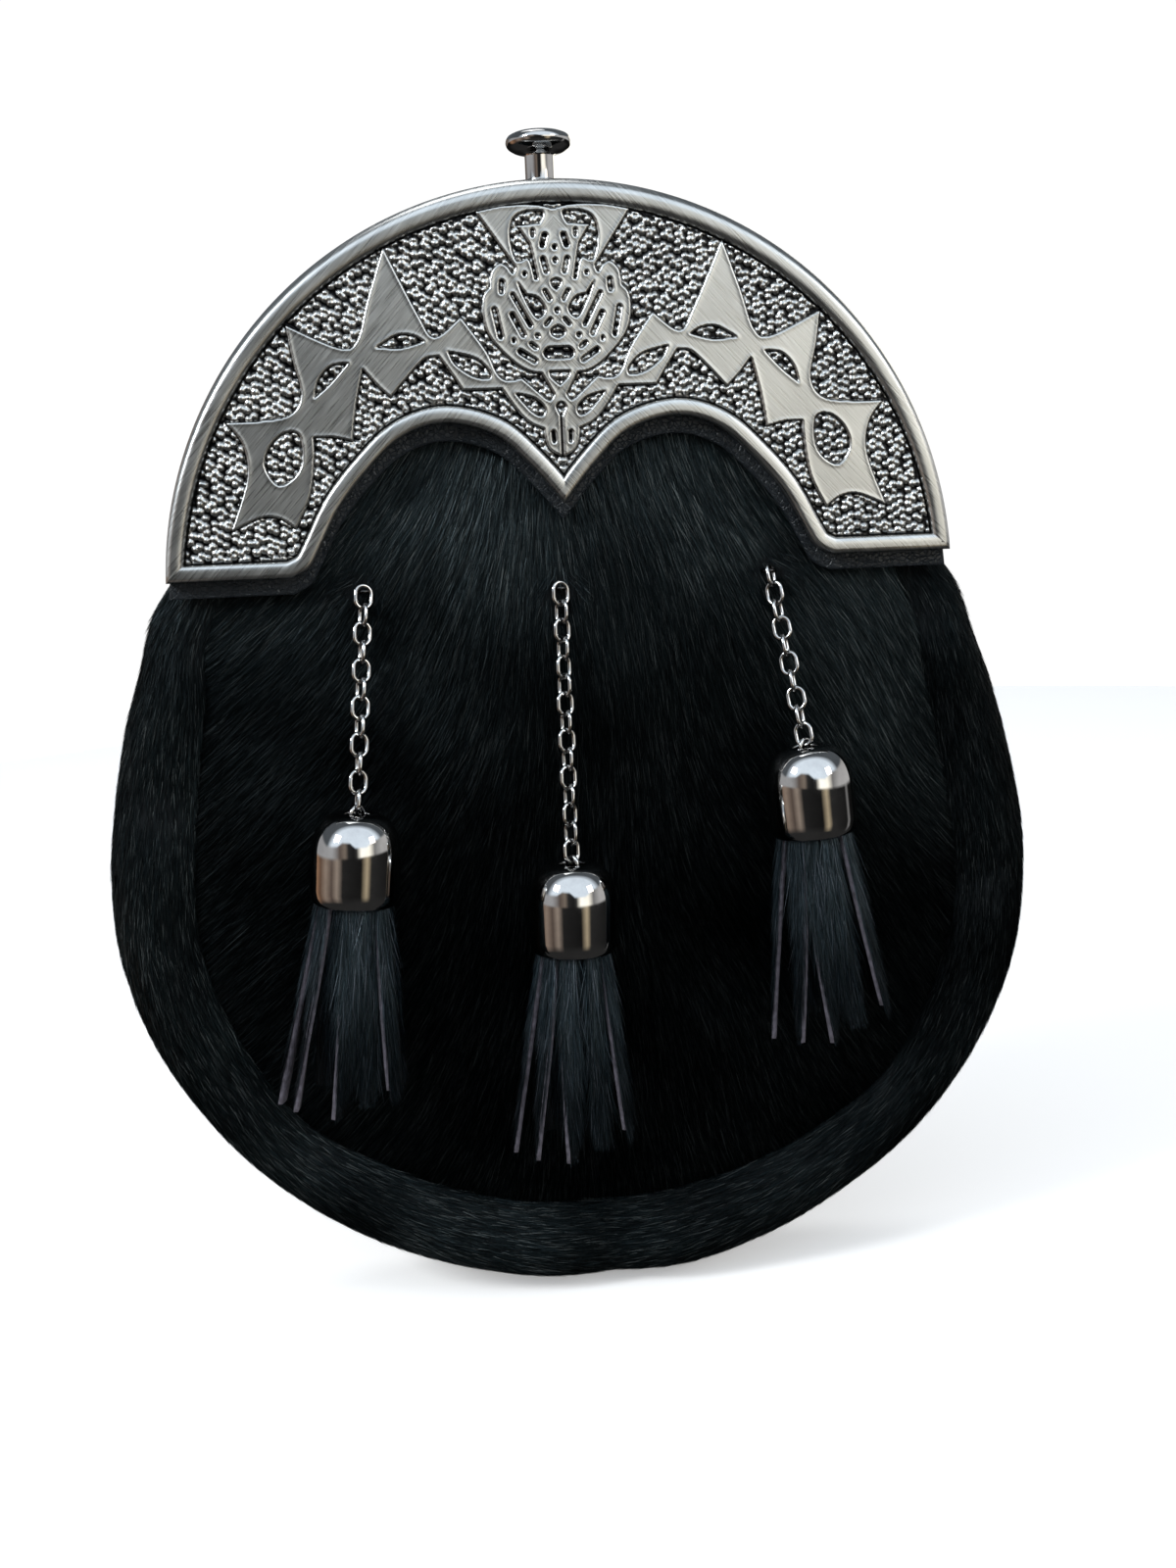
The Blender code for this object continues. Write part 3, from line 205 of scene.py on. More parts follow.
# The pouch from its top down to the bottom seam. Columns: angle from straight up round the pouch's centre in
# degrees, outline as a share of BODY_RADIUS, band as a share of BAND_WIDTH, roll as a share of BAND_ROLL.
STATIONS = np.array((
    (0, 1.215, 0.38, 0.0), (15, 1.192, 0.38, 0.0), (30, 1.105, 0.38, 0.0), (42, 1.023, 0.40, 0.0),
    (52, 0.980, 0.52, 0.0), (58, 0.978, 0.60, 0.3), (65, 0.960, 0.70, 0.8), (73, 0.955, 0.78, 0.9),
    (82, 0.959, 0.84, 0.7), (91, 0.974, 0.87, 0.9), (100, 0.991, 0.87, 1.0), (110, 1.002, 0.87, 1.0),
    (121, 1.006, 0.86, 1.0), (132, 1.006, 0.82, 0.9), (142, 1.004, 0.89, 1.0), (152, 1.002, 0.94, 1.0),
    (162, 1.001, 0.98, 1.0), (172, 1.000, 1.00, 1.0), (180, 0.994, 1.00, 0.6),
))

# Soft dents in the bands. Columns: side, angle and half width in degrees, depth as a share of BAND_ROLL.
DENTS = ((-1, 80, 7, 0.30), (-1, 122, 6, 0.22), (1, 74, 6, 0.25), (1, 99, 6, 0.35), (1, 146, 7, 0.22))

# Columns: name, staple across and below the foot as shares of BODY_RADIUS, links, lean of chain and tassel.
PENDANTS = (
    ("left", -0.410, 0.034, 12, -4.8, -5.5),
    ("middle", -0.016, 0.045, 15, -1.0, -1.0),
    ("right", 0.419, 0.029, 10, 6.5, 5.0),
)

# Strips of a tassel. Columns: angle round the head in degrees, spread of the tip as a share of the head's
# radius, length as a share of TASSEL_LENGTH, how far the strip twists on its way down in degrees, and
# whether its cut edges show or hair covers them.
BARE = True
STRIPS = (
    (8, 0.85, 0.93, -14, not BARE), (48, 0.35, 0.97, 10, not BARE), (90, 0.10, 0.95, -10, not BARE),
    (132, 0.35, 0.96, 15, not BARE), (178, 1.30, 1.00, 14, BARE), (212, 1.00, 0.99, 34, BARE),
    (258, 0.55, 1.00, -72, BARE), (292, 0.60, 0.95, 24, not BARE), (326, 0.95, 0.90, -8, BARE),
)

# Shapes shared with the solids
BODY_TOP = CANTLE_HEIGHT - BODY_TOP_SINK
CENTRE_DROP = BODY_RADIUS * STATIONS[0][1] - BODY_TOP
STRAP_HEIGHT = BODY_TOP - STRAP_DROP


def back_depth(up):
    bottom = -CENTRE_DROP - BODY_RADIUS
    share = (BODY_TOP - up) / (BODY_TOP - bottom)
    return POUCH_DEPTH_TOP + (POUCH_DEPTH_BOTTOM - POUCH_DEPTH_TOP) * share


ORIGIN = np.array((0.0, back_depth(STRAP_HEIGHT), STRAP_HEIGHT))
BACK_SLOPE = atan2(back_depth(-1.0) - back_depth(0.0), 1.0)
APRON_DEPTH = RIM_RISE + CANTLE_PLATE + GAP
SEAM_DEPTH = APRON_DEPTH + APRON_THICKNESS + GAP + HIDDEN_CROWN_SHARE * PANEL_CROWN + GAP


def world(points):
    return np.asarray(points, float) - ORIGIN


def unit(vectors):
    return vectors / np.maximum(np.linalg.norm(vectors, axis=-1, keepdims=True), 1e-12)


def smooth_step(low, high, value):
    share = np.clip((value - low) / (high - low), 0.0, 1.0)
    return share * share * (3.0 - 2.0 * share)


def through_table(at, column):
    """A smooth curve through one column of STATIONS."""
    xs = STATIONS[:, 0]
    ys = STATIONS[:, column]
    slopes = np.gradient(ys, xs)
    i = np.clip(np.searchsorted(xs, at) - 1, 0, len(xs) - 2)
    width = xs[i + 1] - xs[i]
    t = (at - xs[i]) / width
    return (
        (2 * t**3 - 3 * t**2 + 1) * ys[i]
        + (t**3 - 2 * t**2 + t) * width * slopes[i]
        + (3 * t**2 - 2 * t**3) * ys[i + 1]
        + (t**3 - t**2) * width * slopes[i + 1]
    )


def sway(up):
    return BODY_SWAY * np.clip(-up / (CENTRE_DROP + BODY_RADIUS), 0.0, 1.0)


def body_points(side, angle, radius, depth):
    turn = np.radians(angle)
    up = radius * np.cos(turn) - CENTRE_DROP
    across = side * (radius * np.sin(turn) + SEAM_GAP / 2) + sway(up)
    return np.stack(np.broadcast_arrays(across, depth, up), axis=-1)


def crown_share(up):
    fall = smooth_step(0.0, 1.0, (APRON_DROP + BAND_WIDTH - up) / CENTRE_DROP)
    return HIDDEN_CROWN_SHARE + (1.0 - HIDDEN_CROWN_SHARE) * fall


def panel_depth(up):
    return SEAM_DEPTH - PANEL_CROWN * crown_share(up)


def smooth_path(rows, scale, spans, closed):
    """Points of (across, up) on a curve through drawn rows; it stops at sharp ones."""
    count = len(rows)
    drawn = np.array([row[:2] for row in rows]) / 100 * scale
    sharp = [SHARP in row for row in rows]
    path = []
    for i in range(count if closed else count - 1):
        j = (i + 1) % count
        before = drawn[i] if sharp[i] else drawn[i - 1]
        after = drawn[j] if sharp[j] else drawn[(j + 1) % count]
        bend = 2 * before - 5 * drawn[i] + 4 * drawn[j] - after
        swing = 3 * drawn[i] - before - 3 * drawn[j] + after
        for k in range(spans):
            t = k / spans
            path.append(0.5 * (2 * drawn[i] + (drawn[j] - before) * t + bend * t * t + swing * t**3))
    if not closed:
        path.append(drawn[-1])
    return np.array(path)


def mirrored(path):
    return path[::-1] * (-1.0, 1.0)


def both_sides(half):
    left = mirrored(half)
    return np.concatenate([half, left[np.abs(left[:, 0]) > GAP / 10]])


def cantle_outline(flare=0.0, arc_steps=144, spans=10):
    half = CANTLE_WIDTH / 2
    radius = (half**2 + CANTLE_HEIGHT**2) / (2 * CANTLE_HEIGHT)
    centre = CANTLE_HEIGHT - radius
    start = atan2(-centre, half)
    share = np.arange(arc_steps + 1) / arc_steps
    angle = start + (pi - 2 * start) * share
    out = radius + flare * np.sqrt(np.clip(np.sin(pi * share), 0.0, 1.0))
    arch = np.stack([out * np.cos(angle), centre + out * np.sin(angle)], axis=1)
    right = smooth_path(CANTLE_EDGE, (half, CANTLE_HEIGHT), spans, closed=False)
    return np.concatenate([arch, mirrored(right), right[1:-1]])


def inset(outline, distance):
    """The outline moved inwards by a distance, with mitred corners."""
    into = unit(outline - np.roll(outline, 1, axis=0))
    out = unit(np.roll(outline, -1, axis=0) - outline)
    normal = np.stack([-into[:, 1] - out[:, 1], into[:, 0] + out[:, 0]], axis=1)
    length = np.linalg.norm(normal, axis=1, keepdims=True)
    return outline + normal / length * distance * 2 / np.maximum(length, 0.9)


def inset_to_middle(outline, distance):
    """The same, with points that would cross the middle line gathered at the corner below."""
    moved = inset(outline, distance)
    tip = np.argmin(np.abs(outline[:, 0]) + (outline[:, 1] > CANTLE_HEIGHT / 2))
    moved[moved[:, 0] * outline[:, 0] < 0] = moved[tip]
    return moved


# Mesh making
def arc(start, end, count):
    return np.radians(np.linspace(start, end, count))


def ring(count, start=0.0):
    return 2 * pi * (np.arange(count) + start) / count


def upright(angle):
    """Unit vectors at angles in the XZ plane."""
    return np.stack([np.cos(angle), np.zeros(np.shape(angle)), np.sin(angle)], axis=-1)


def set_attribute(mesh, name, values):
    attribute = mesh.attributes.new(name, "FLOAT", "POINT")
    attribute.data.foreach_set("value", np.broadcast_to(values, len(mesh.vertices)).astype(np.float32))


def new_mesh(name, points, faces, **attributes):
    """A mesh from arrays of points and of faces with equal corner counts, and values for its points."""
    points = np.asarray(points, np.float32)
    faces = np.asarray(faces, np.int32)
    mesh = bpy.data.meshes.new(name)
    mesh.vertices.add(len(points))
    mesh.vertices.foreach_set("co", points.ravel())
    mesh.loops.add(faces.size)
    mesh.loops.foreach_set("vertex_index", faces.ravel())
    mesh.polygons.add(len(faces))
    mesh.polygons.foreach_set("loop_start", np.arange(0, faces.size, faces.shape[1], dtype=np.int32))
    mesh.update(calc_edges=True)
    for key, values in attributes.items():
        set_attribute(mesh, key, values)
    return mesh


def add_piece(mesh, material, slot, *replaces, smooth=True, sharp=None):
    """A visible piece with its mesh's name; edges bent by more than sharp degrees stay hard."""
    piece = bpy.data.objects.new(mesh.name, mesh)
    bpy.context.scene.collection.objects.link(piece)
    if not mesh.materials:
        mesh.materials.append(material)
    if smooth:
        mesh.shade_smooth()
    if sharp:
        mesh.set_sharp_from_angle(angle=radians(sharp))
    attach(piece, "root")
    if replaces:
        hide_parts(*replaces)
    return piece


def grid_faces(rows, columns, wrap_rows=False, wrap_columns=False):
    i = np.arange(rows if wrap_rows else rows - 1)
    j = np.arange(columns if wrap_columns else columns - 1)
    i, j = np.meshgrid(i, j, indexing="ij")
    here = i * columns
    below = (i + 1) % rows * columns
    beside = (j + 1) % columns
    return np.stack([here + j, below + j, below + beside, here + beside], axis=-1).reshape(-1, 4)


def bar_faces(rows):
    """Faces of a closed bar with four corners in each row."""
    ends = [[0, 1, 2, 3], [4 * rows - 1 - k for k in range(4)]]
    return np.concatenate([grid_faces(rows, 4, False, True), ends])


def edited(mesh, *steps):
    bm = bmesh.new()
    bm.from_mesh(mesh)
    for step in steps:
        step(bm)
    bm.to_mesh(mesh)
    bm.free()
    return mesh


def merge_doubles(bm):
    bmesh.ops.remove_doubles(bm, verts=bm.verts, dist=1e-6)


def drop_slivers(bm):
    bmesh.ops.dissolve_degenerate(bm, edges=bm.edges, dist=1e-7)


def face_out(bm):
    bmesh.ops.recalc_face_normals(bm, faces=bm.faces)


def bevel_edges(bm, offset, segments):
    bmesh.ops.bevel(bm, geom=bm.edges, offset=offset, segments=segments, affect="EDGES", profile=0.5)


def put(mesh, place, turn=0.0, axis="X"):
    """The mesh moved from the origin to its place in the cantle's frame, turned round an axis."""
    mesh.transform(Matrix.Translation(Vector(world(place))) @ Matrix.Rotation(turn, 4, axis))
    return mesh


def turned_mesh(name, profile, steps=64):
    """A closed ring or solid turned round Z from points of (radius, height)."""
    radius, height = np.array(profile).T[:, :, None]
    angle = ring(steps)
    points = np.broadcast_arrays(radius * np.cos(angle), radius * np.sin(angle), height)
    faces = grid_faces(len(profile), steps, False, True)
    mesh = new_mesh(name, np.stack(points, axis=-1).reshape(-1, 3), faces)
    return edited(mesh, merge_doubles, drop_slivers, face_out)


def rounded(corners, radius, steps=5):
    """A profile of (radius, height) with its inner corners rounded."""
    corners = [np.array(corner, float) for corner in corners]
    profile = [corners[0]]
    for before, here, after in zip(corners, corners[1:], corners[2:]):
        reach = min(radius, 0.45 * np.linalg.norm(before - here), 0.45 * np.linalg.norm(after - here))
        first = here + unit(before - here) * reach
        last = here + unit(after - here) * reach
        for k in range(steps + 1):
            t = k / steps
            profile.append((1 - t) ** 2 * first + 2 * t * (1 - t) * here + t**2 * last)
    return profile + [corners[-1]]


def turning(outline):
    """Twice the area of an outline, positive where it runs anticlockwise."""
    ahead = np.roll(outline, -1, axis=0)
    return np.sum(outline[:, 0] * ahead[:, 1] - ahead[:, 0] * outline[:, 1])


def flat_plate(name, outlines, thickness, edge, place, turn):
    """A plate with rounded edges; its border is the first outline of (across, up), the others are holes."""
    bm = bmesh.new()
    levels = [(edge * (1 - sin(t)), thickness / 2 - edge * (1 - cos(t))) for t in arc(0, 90, 5)]
    levels += [(into, -height) for into, height in reversed(levels)]
    ends = ([], [])
    for index, outline in enumerate(outlines):
        if (turning(outline) > 0) != (index == 0):
            outline = outline[::-1]
        rows = []
        for into, height in levels:
            rows.append([bm.verts.new((x, y, height)) for x, y in inset(outline, into)])
        count = len(outline)
        for upper, lower in zip(rows, rows[1:]):
            for i in range(count):
                j = (i + 1) % count
                bm.faces.new((upper[i], lower[i], lower[j], upper[j]))
        for end, row in zip(ends, (rows[0], rows[-1])):
            end += [bm.edges.get((row[i], row[(i + 1) % count])) for i in range(count)]
    for end in ends:
        bmesh.ops.triangle_fill(bm, edges=end, use_beauty=True)
    face_out(bm)
    mesh = bpy.data.meshes.new(name)
    bm.to_mesh(mesh)
    bm.free()
    return put(mesh, place, turn)


# Materials
def new_material(name):
    material = bpy.data.materials.new(name)
    material.use_nodes = True
    return material, material.node_tree


def finished(material, inputs):
    """The material with its shader's inputs filled."""
    fill(material.node_tree, material.node_tree.nodes["Principled BSDF"], inputs)
    return material


def fill(tree, node, inputs):
    """Links a node's inputs to outputs, or sets them to plain values."""
    for key, value in inputs.items():
        socket = node.inputs[key]
        if isinstance(value, bpy.types.NodeSocket):
            tree.links.new(value, socket)
        else:
            socket.default_value = (*value, 1.0) if socket.type == "RGBA" else value


def add_node(tree, kind, inputs, output=0, **properties):
    """A new node's output."""
    node = tree.nodes.new("ShaderNode" + kind)
    for key, value in properties.items():
        setattr(node, key, value)
    fill(tree, node, inputs)
    return node.outputs[output]


def split_vector(tree, vector):
    node = tree.nodes.new("ShaderNodeSeparateXYZ")
    fill(tree, node, {0: vector})
    return node.outputs


def attribute(tree, name):
    return add_node(tree, "Attribute", {}, "Fac", attribute_name=name)


def ramp(tree, source, stops):
    """A colour ramp over a value; stops are (place, colour or grey)."""
    node = tree.nodes.new("ShaderNodeValToRGB")
    while len(node.color_ramp.elements) < len(stops):
        node.color_ramp.elements.new(0.5)
    for element, (place, colour) in zip(node.color_ramp.elements, stops):
        element.position = place
        element.color = (*colour, 1.0) if isinstance(colour, tuple) else (colour, colour, colour, 1.0)
    fill(tree, node, {"Fac": source})
    return node.outputs["Color"]


def mix_colours(tree, blend, factor, first, second):
    inputs = {"Factor": factor, "A": first, "B": second}
    return add_node(tree, "Mix", inputs, "Result", data_type="RGBA", blend_type=blend)


def object_place(tree, scale=(1, 1, 1), turn=(0.0, 0.0, 0.0), mirror=False):
    """The place on the object, in metres, turned and scaled; mirror gives both halves the same pattern."""
    place = add_node(tree, "TexCoord", {}, "Object")
    if mirror:
        x, y, z = split_vector(tree, place)
        x = add_node(tree, "Math", {0: x}, operation="ABSOLUTE")
        place = add_node(tree, "CombineXYZ", {"X": x, "Y": y, "Z": z})
    place = add_node(tree, "Mapping", {"Vector": place, "Rotation": turn})
    return add_node(tree, "Mapping", {"Vector": place, "Scale": scale})


def noise(tree, place, scale, detail=3.0, rough=0.5):
    inputs = {"Vector": place, "Scale": scale, "Detail": detail, "Roughness": rough}
    return add_node(tree, "TexNoise", inputs, "Fac")


def bump(tree, height, strength, distance, *before):
    inputs = {"Height": height, "Strength": strength, "Distance": distance}
    if before:
        inputs["Normal"] = before[0]
    return add_node(tree, "Bump", inputs)


def pewter_material():
    """Antiqued cast metal: bright satin on what stands proud, dark patina in the hollows."""
    material, tree = new_material("pewter")
    patina = (0.010, 0.010, 0.011)
    place = object_place(tree)
    worn = ramp(tree, attribute(tree, "wear"), ((0.05, 0.0), (0.80, 1.0)))
    tone = ramp(tree, noise(tree, place, 60.0, 4.0), ((0.3, (0.50, 0.50, 0.49)), (0.7, (0.60, 0.60, 0.585))))
    brushed = noise(tree, object_place(tree, (3200, 300, 110), (0.0, 0.75, 0.0), mirror=True), 1.0, 2.5)
    tone = mix_colours(tree, "MULTIPLY", 1.0, tone, ramp(tree, brushed, ((0.30, 0.72), (0.68, 1.0))))
    strokes = bump(tree, brushed, 0.25, 0.00008)
    return finished(material, {
        "Base Color": mix_colours(tree, "MIX", worn, patina, tone),
        "Metallic": 1.0,
        "Roughness": ramp(tree, brushed, ((0.30, 0.25), (0.70, 0.35))),
        "Normal": bump(tree, noise(tree, place, 2400.0, 2.0), 0.08, 0.00005, strokes),
    })


def polished_material(name, share):
    """Dark nickel with a few smears; share is how much of its light it reflects."""
    material, tree = new_material(name)
    place = object_place(tree)
    smear = noise(tree, place, 180.0, 4.0, 0.6)
    dull = tuple(share * channel for channel in (0.40, 0.39, 0.385))
    clear = tuple(share * channel for channel in (0.52, 0.51, 0.50))
    return finished(material, {
        "Base Color": ramp(tree, smear, ((0.3, dull), (0.7, clear))),
        "Metallic": 1.0,
        "Roughness": ramp(tree, smear, ((0.35, 0.03), (0.75, 0.11))),
        "Normal": bump(tree, noise(tree, place, 500.0, 2.0), 0.03, 0.0002),
    })


def leather_material(name, tone, sheen=0.02):
    """Fine-grained dyed leather: small rounded cells, soft creases and a few wider swells."""
    material, tree = new_material(name)
    place = object_place(tree)
    inputs = {"Vector": place, "Scale": 1000.0}
    cells = add_node(tree, "TexVoronoi", inputs, "Distance", feature="DISTANCE_TO_EDGE")
    cloud = noise(tree, place, 90.0, 5.0, 0.6)
    lighter = tuple(channel * 1.8 + 0.002 for channel in tone)
    grain = bump(tree, ramp(tree, cells, ((0.0, 0.0), (0.12, 1.0))), 0.8, 0.00022)
    creases = bump(tree, noise(tree, place, 520.0, 3.0, 0.6), 0.55, 0.0006, grain)
    return finished(material, {
        "Base Color": ramp(tree, cloud, ((0.3, tone), (0.8, lighter))),
        "Roughness": ramp(tree, cloud, ((0.3, 0.30), (0.7, 0.48))),
        "Specular IOR Level": 0.35,
        "Sheen Weight": sheen,
        "Sheen Tint": (0.55, 0.65, 0.8),
        "Normal": bump(tree, cloud, 0.55, 0.0008, creases),
    })


def suede_material():
    material, tree = new_material("cut_edge")
    cloud = noise(tree, object_place(tree), 700.0, 4.0, 0.6)
    return finished(material, {
        "Base Color": ramp(tree, cloud, ((0.3, (0.024, 0.021, 0.027)), (0.75, (0.090, 0.080, 0.100)))),
        "Roughness": 0.9,
        "Normal": bump(tree, cloud, 0.6, 0.0003),
    })


def skin_material():
    """Black hide under the hair, streaked along the way the hair lies."""
    material, tree = new_material("hide_skin")
    streaks = noise(tree, object_place(tree, (2600, 900, 300), mirror=True), 1.0, 3.0)
    return finished(material, {
        "Base Color": ramp(tree, streaks, ((0.35, (0.001, 0.0015, 0.002)), (0.8, (0.005, 0.007, 0.008)))),
        "Roughness": 0.7,
        "Specular IOR Level": 0.08,
        "Normal": bump(tree, streaks, 0.5, 0.0004),
    })


def hair_material(name, dark, light, gloss):
    """Single hairs, a few of them lighter; each one's tone scales its colour and its gloss, and carries
    painted light and shade.
    """
    material, tree = new_material(name)
    tone = attribute(tree, "tone")
    darker = tuple(0.3 * channel for channel in dark)
    lighter = tuple(3.4 * channel for channel in dark)
    shade = ramp(tree, attribute(tree, "shade"), ((0.0, darker), (0.6, dark), (0.88, lighter), (1.0, light)))
    return finished(material, {
        "Base Color": add_node(tree, "VectorMath", {0: shade, "Scale": tone}, operation="SCALE"),
        "Roughness": 0.34,
        "Specular IOR Level": add_node(tree, "Math", {0: tone, 1: gloss}, operation="MULTIPLY"),
        "Specular Tint": (0.70, 0.91, 1.0),
    })


PEWTER = pewter_material()
POLISHED = polished_material("gunmetal", 1.0)
# Painted shade: the staple wire is the chain's gunmetal dimmed to 0.12 of its reflection, to stand for the
# dark hole it sits in
SHADED_WIRE = polished_material("painted_shade_wire", 0.12)
LEATHER = leather_material("leather", (0.006, 0.008, 0.010))
THREAD = leather_material("thread", (0.022, 0.023, 0.025), 0.2)
SUEDE = suede_material()
SKIN = skin_material()
HAIR = hair_material("hide_hair", (0.0012, 0.0019, 0.0021), (0.042, 0.046, 0.045), 0.068)
TASSEL_HAIR = hair_material("tassel_hair", (0.0034, 0.0058, 0.0075), (0.075, 0.082, 0.095), 0.30)


# Cantle
def field_of(outlines, xs, zs, reach):
    """Signed distance to outlines on a grid of (up, across), positive inside, cut off at a reach."""
    step = xs[1] - xs[0]
    distance = np.full((len(zs), len(xs)), reach)
    inside = np.zeros(distance.shape, bool)
    for outline in outlines:
        for a, b in zip(outline, np.roll(outline, -1, axis=0)):
            low = (np.minimum(a, b) - reach - (xs[0], zs[0])) / step
            high = (np.maximum(a, b) + reach - (xs[0], zs[0])) / step + 2
            i = slice(*np.clip((low[1], high[1]), 0, len(zs)).astype(int))
            j = slice(*np.clip((low[0], high[0]), 0, len(xs)).astype(int))
            gx, gz = np.meshgrid(xs[j], zs[i])
            edge = b - a
            share = ((gx - a[0]) * edge[0] + (gz - a[1]) * edge[1]) / max(edge @ edge, 1e-18)
            share = np.clip(share, 0.0, 1.0)
            away = np.hypot(gx - a[0] - share * edge[0], gz - a[1] - share * edge[1])
            distance[i, j] = np.minimum(distance[i, j], away)
            if a[1] == b[1]:
                continue
            rows = np.nonzero((zs >= min(a[1], b[1])) & (zs < max(a[1], b[1])))[0]
            crossing = a[0] + (zs[rows] - a[1]) / (b[1] - a[1]) * (b[0] - a[0])
            for row, x in zip(rows, crossing):
                inside[row, np.searchsorted(xs, x):] ^= True
    return np.where(inside, distance, -distance)


def slot_outline(slot, scale, steps=6):
    upper, lower = np.array(slot[:4]).reshape(2, 2) / 100 * scale
    radius = slot[4] / 200 * scale[0]
    along = unit(upper - lower)
    across = np.array((-along[1], along[0]))
    turns = arc(-90, 90, steps + 1)
    top = [upper + radius * (along * cos(t) - across * sin(t)) for t in turns]
    foot = [lower + radius * (across * sin(t) - along * cos(t)) for t in turns]
    return np.array(top + foot)


def relief_outlines():
    scale = (CANTLE_WIDTH / 2, CANTLE_HEIGHT)
    halves = (RELIEF_HALF, *MIDDLE_OPENINGS)
    outlines = [both_sides(smooth_path(rows, scale, 6, closed=False)) for rows in halves]
    openings = [smooth_path(rows, scale, 6, closed=True) for rows in SIDE_OPENINGS]
    openings += [slot_outline(slot, scale) for slot in SIDE_SLOTS]
    outlines += openings
    outlines += [mirrored(opening) for opening in openings]
    return outlines + [slot_outline(slot, scale) for slot in MIDDLE_SLOTS]


# The face of the cantle is a height field: the relief, and pebbles on the ground round it
FACE_STEP = 0.00024
RELIEF_REACH = 0.0012
RELIEF_DISH = 0.00006
PEBBLE = 0.00158
PEBBLE_RISE = 0.00068
PEBBLE_TILT = 33
PEBBLE_SQUEEZE = 0.89
PEBBLE_JITTER = 0.27
PEBBLE_SIZES = (0.84, 1.12)
PEBBLE_RADIUS = 0.53
PEBBLE_FLATNESS = 0.6
PEBBLE_SEED = 11
PEBBLE_ROWS = 100
PEBBLE_COLUMNS = 130
FIRST_COLUMN = 10
FIRST_ROW = 40


def pebbles(x, z, rng):
    """Height of close-set pebbles from 0 to 1, on a six-sided lattice with each centre moved a little."""
    moved = rng.uniform(-PEBBLE_JITTER, PEBBLE_JITTER, (2, PEBBLE_ROWS, PEBBLE_COLUMNS))
    size = rng.uniform(*PEBBLE_SIZES, (PEBBLE_ROWS, PEBBLE_COLUMNS))
    tilt = radians(PEBBLE_TILT)
    gx = (np.abs(x) * cos(tilt) + z * sin(tilt)) / PEBBLE + FIRST_COLUMN
    gz = (z * cos(tilt) - np.abs(x) * sin(tilt)) / (PEBBLE * PEBBLE_SQUEEZE) + FIRST_ROW
    best = np.full(x.shape, 9.0)
    for di in (-1, 0, 1):
        for dj in (-1, 0, 1):
            row = np.floor(gz).astype(int) + di
            column = np.floor(gx - 0.5 * (row % 2)).astype(int) + dj
            r = np.clip(row, 0, PEBBLE_ROWS - 1)
            c = np.clip(column, 0, PEBBLE_COLUMNS - 1)
            cx = column + 0.5 + 0.5 * (row % 2) + moved[0, r, c]
            cz = row + 0.5 + moved[1, r, c]
            best = np.minimum(best, np.hypot(gx - cx, (gz - cz) * 0.95) / size[r, c])
    return np.clip(1.0 - (best / PEBBLE_RADIUS) ** 2, 0.0, 1.0) ** PEBBLE_FLATNESS


def build_face(outline):
    """The face inside the rim, in a left and a right half; wear marks what stands proud and is bright."""
    xs = np.arange(-CANTLE_WIDTH / 2, CANTLE_WIDTH / 2 + FACE_STEP, FACE_STEP)
    zs = np.arange(0.0, CANTLE_HEIGHT + FACE_STEP, FACE_STEP)
    rim = field_of([outline], xs, zs, RIM_WIDTH + RELIEF_REACH)
    relief = field_of(relief_outlines(), xs, zs, RELIEF_REACH)
    x, z = np.meshgrid(xs, zs)
    raised = smooth_step(-0.00024, 0.00010, relief)
    dished = RELIEF_DISH * smooth_step(0.0001, 0.0010, relief)
    ground = smooth_step(0.00022, 0.00040, -relief)
    ground *= smooth_step(RIM_WIDTH + 0.0002, RIM_WIDTH + 0.0005, rim)
    stones = pebbles(x, z, np.random.default_rng(PEBBLE_SEED))
    y = RIM_RISE - (RELIEF_RISE * raised - dished + PEBBLE_RISE * stones * ground)
    keep = rim > RIM_WIDTH - 0.0009
    cell = keep[:-1, :-1] & keep[1:, :-1] & keep[:-1, 1:] & keep[1:, 1:]
    faces = grid_faces(len(zs), len(xs))[cell.ravel()][:, ::-1]
    wear = np.maximum(smooth_step(-0.00004, 0.00008, relief), 0.02)
    wear = np.maximum(wear, ground * smooth_step(0.08, 0.62, stones) * 0.97)
    side = x.ravel()[faces[:, 0]] > 0
    for name, chosen, replaced in (("left", ~side, ["cantle"]), ("right", side, [])):
        used, index = np.unique(faces[chosen], return_inverse=True)
        points = np.stack([x, y, z], axis=-1).reshape(-1, 3)[used]
        mesh = new_mesh("cantle_face_" + name, world(points), index.reshape(-1, 4), wear=wear.ravel()[used])
        add_piece(mesh, PEWTER, "pewter", *replaced)


# The rim's section. Columns: distance from the outline as a share of RIM_WIDTH, depth as one of RIM_RISE.
RIM_SECTION = (
    (0.12, 0.02), (0.30, 0.00), (0.52, 0.00), (0.70, 0.03), (0.83, 0.12), (0.92, 0.32), (0.985, 0.70),
    (1.0, 1.12),
)
PLATE_THICKNESS = 0.6 * CANTLE_PLATE
PLATE_EDGE = 0.0002
PLATE_INSET = 0.0012
PLATE_SINK = 0.00005
LUG_EDGE = 0.0009
KNOB_EDGE = 0.0006


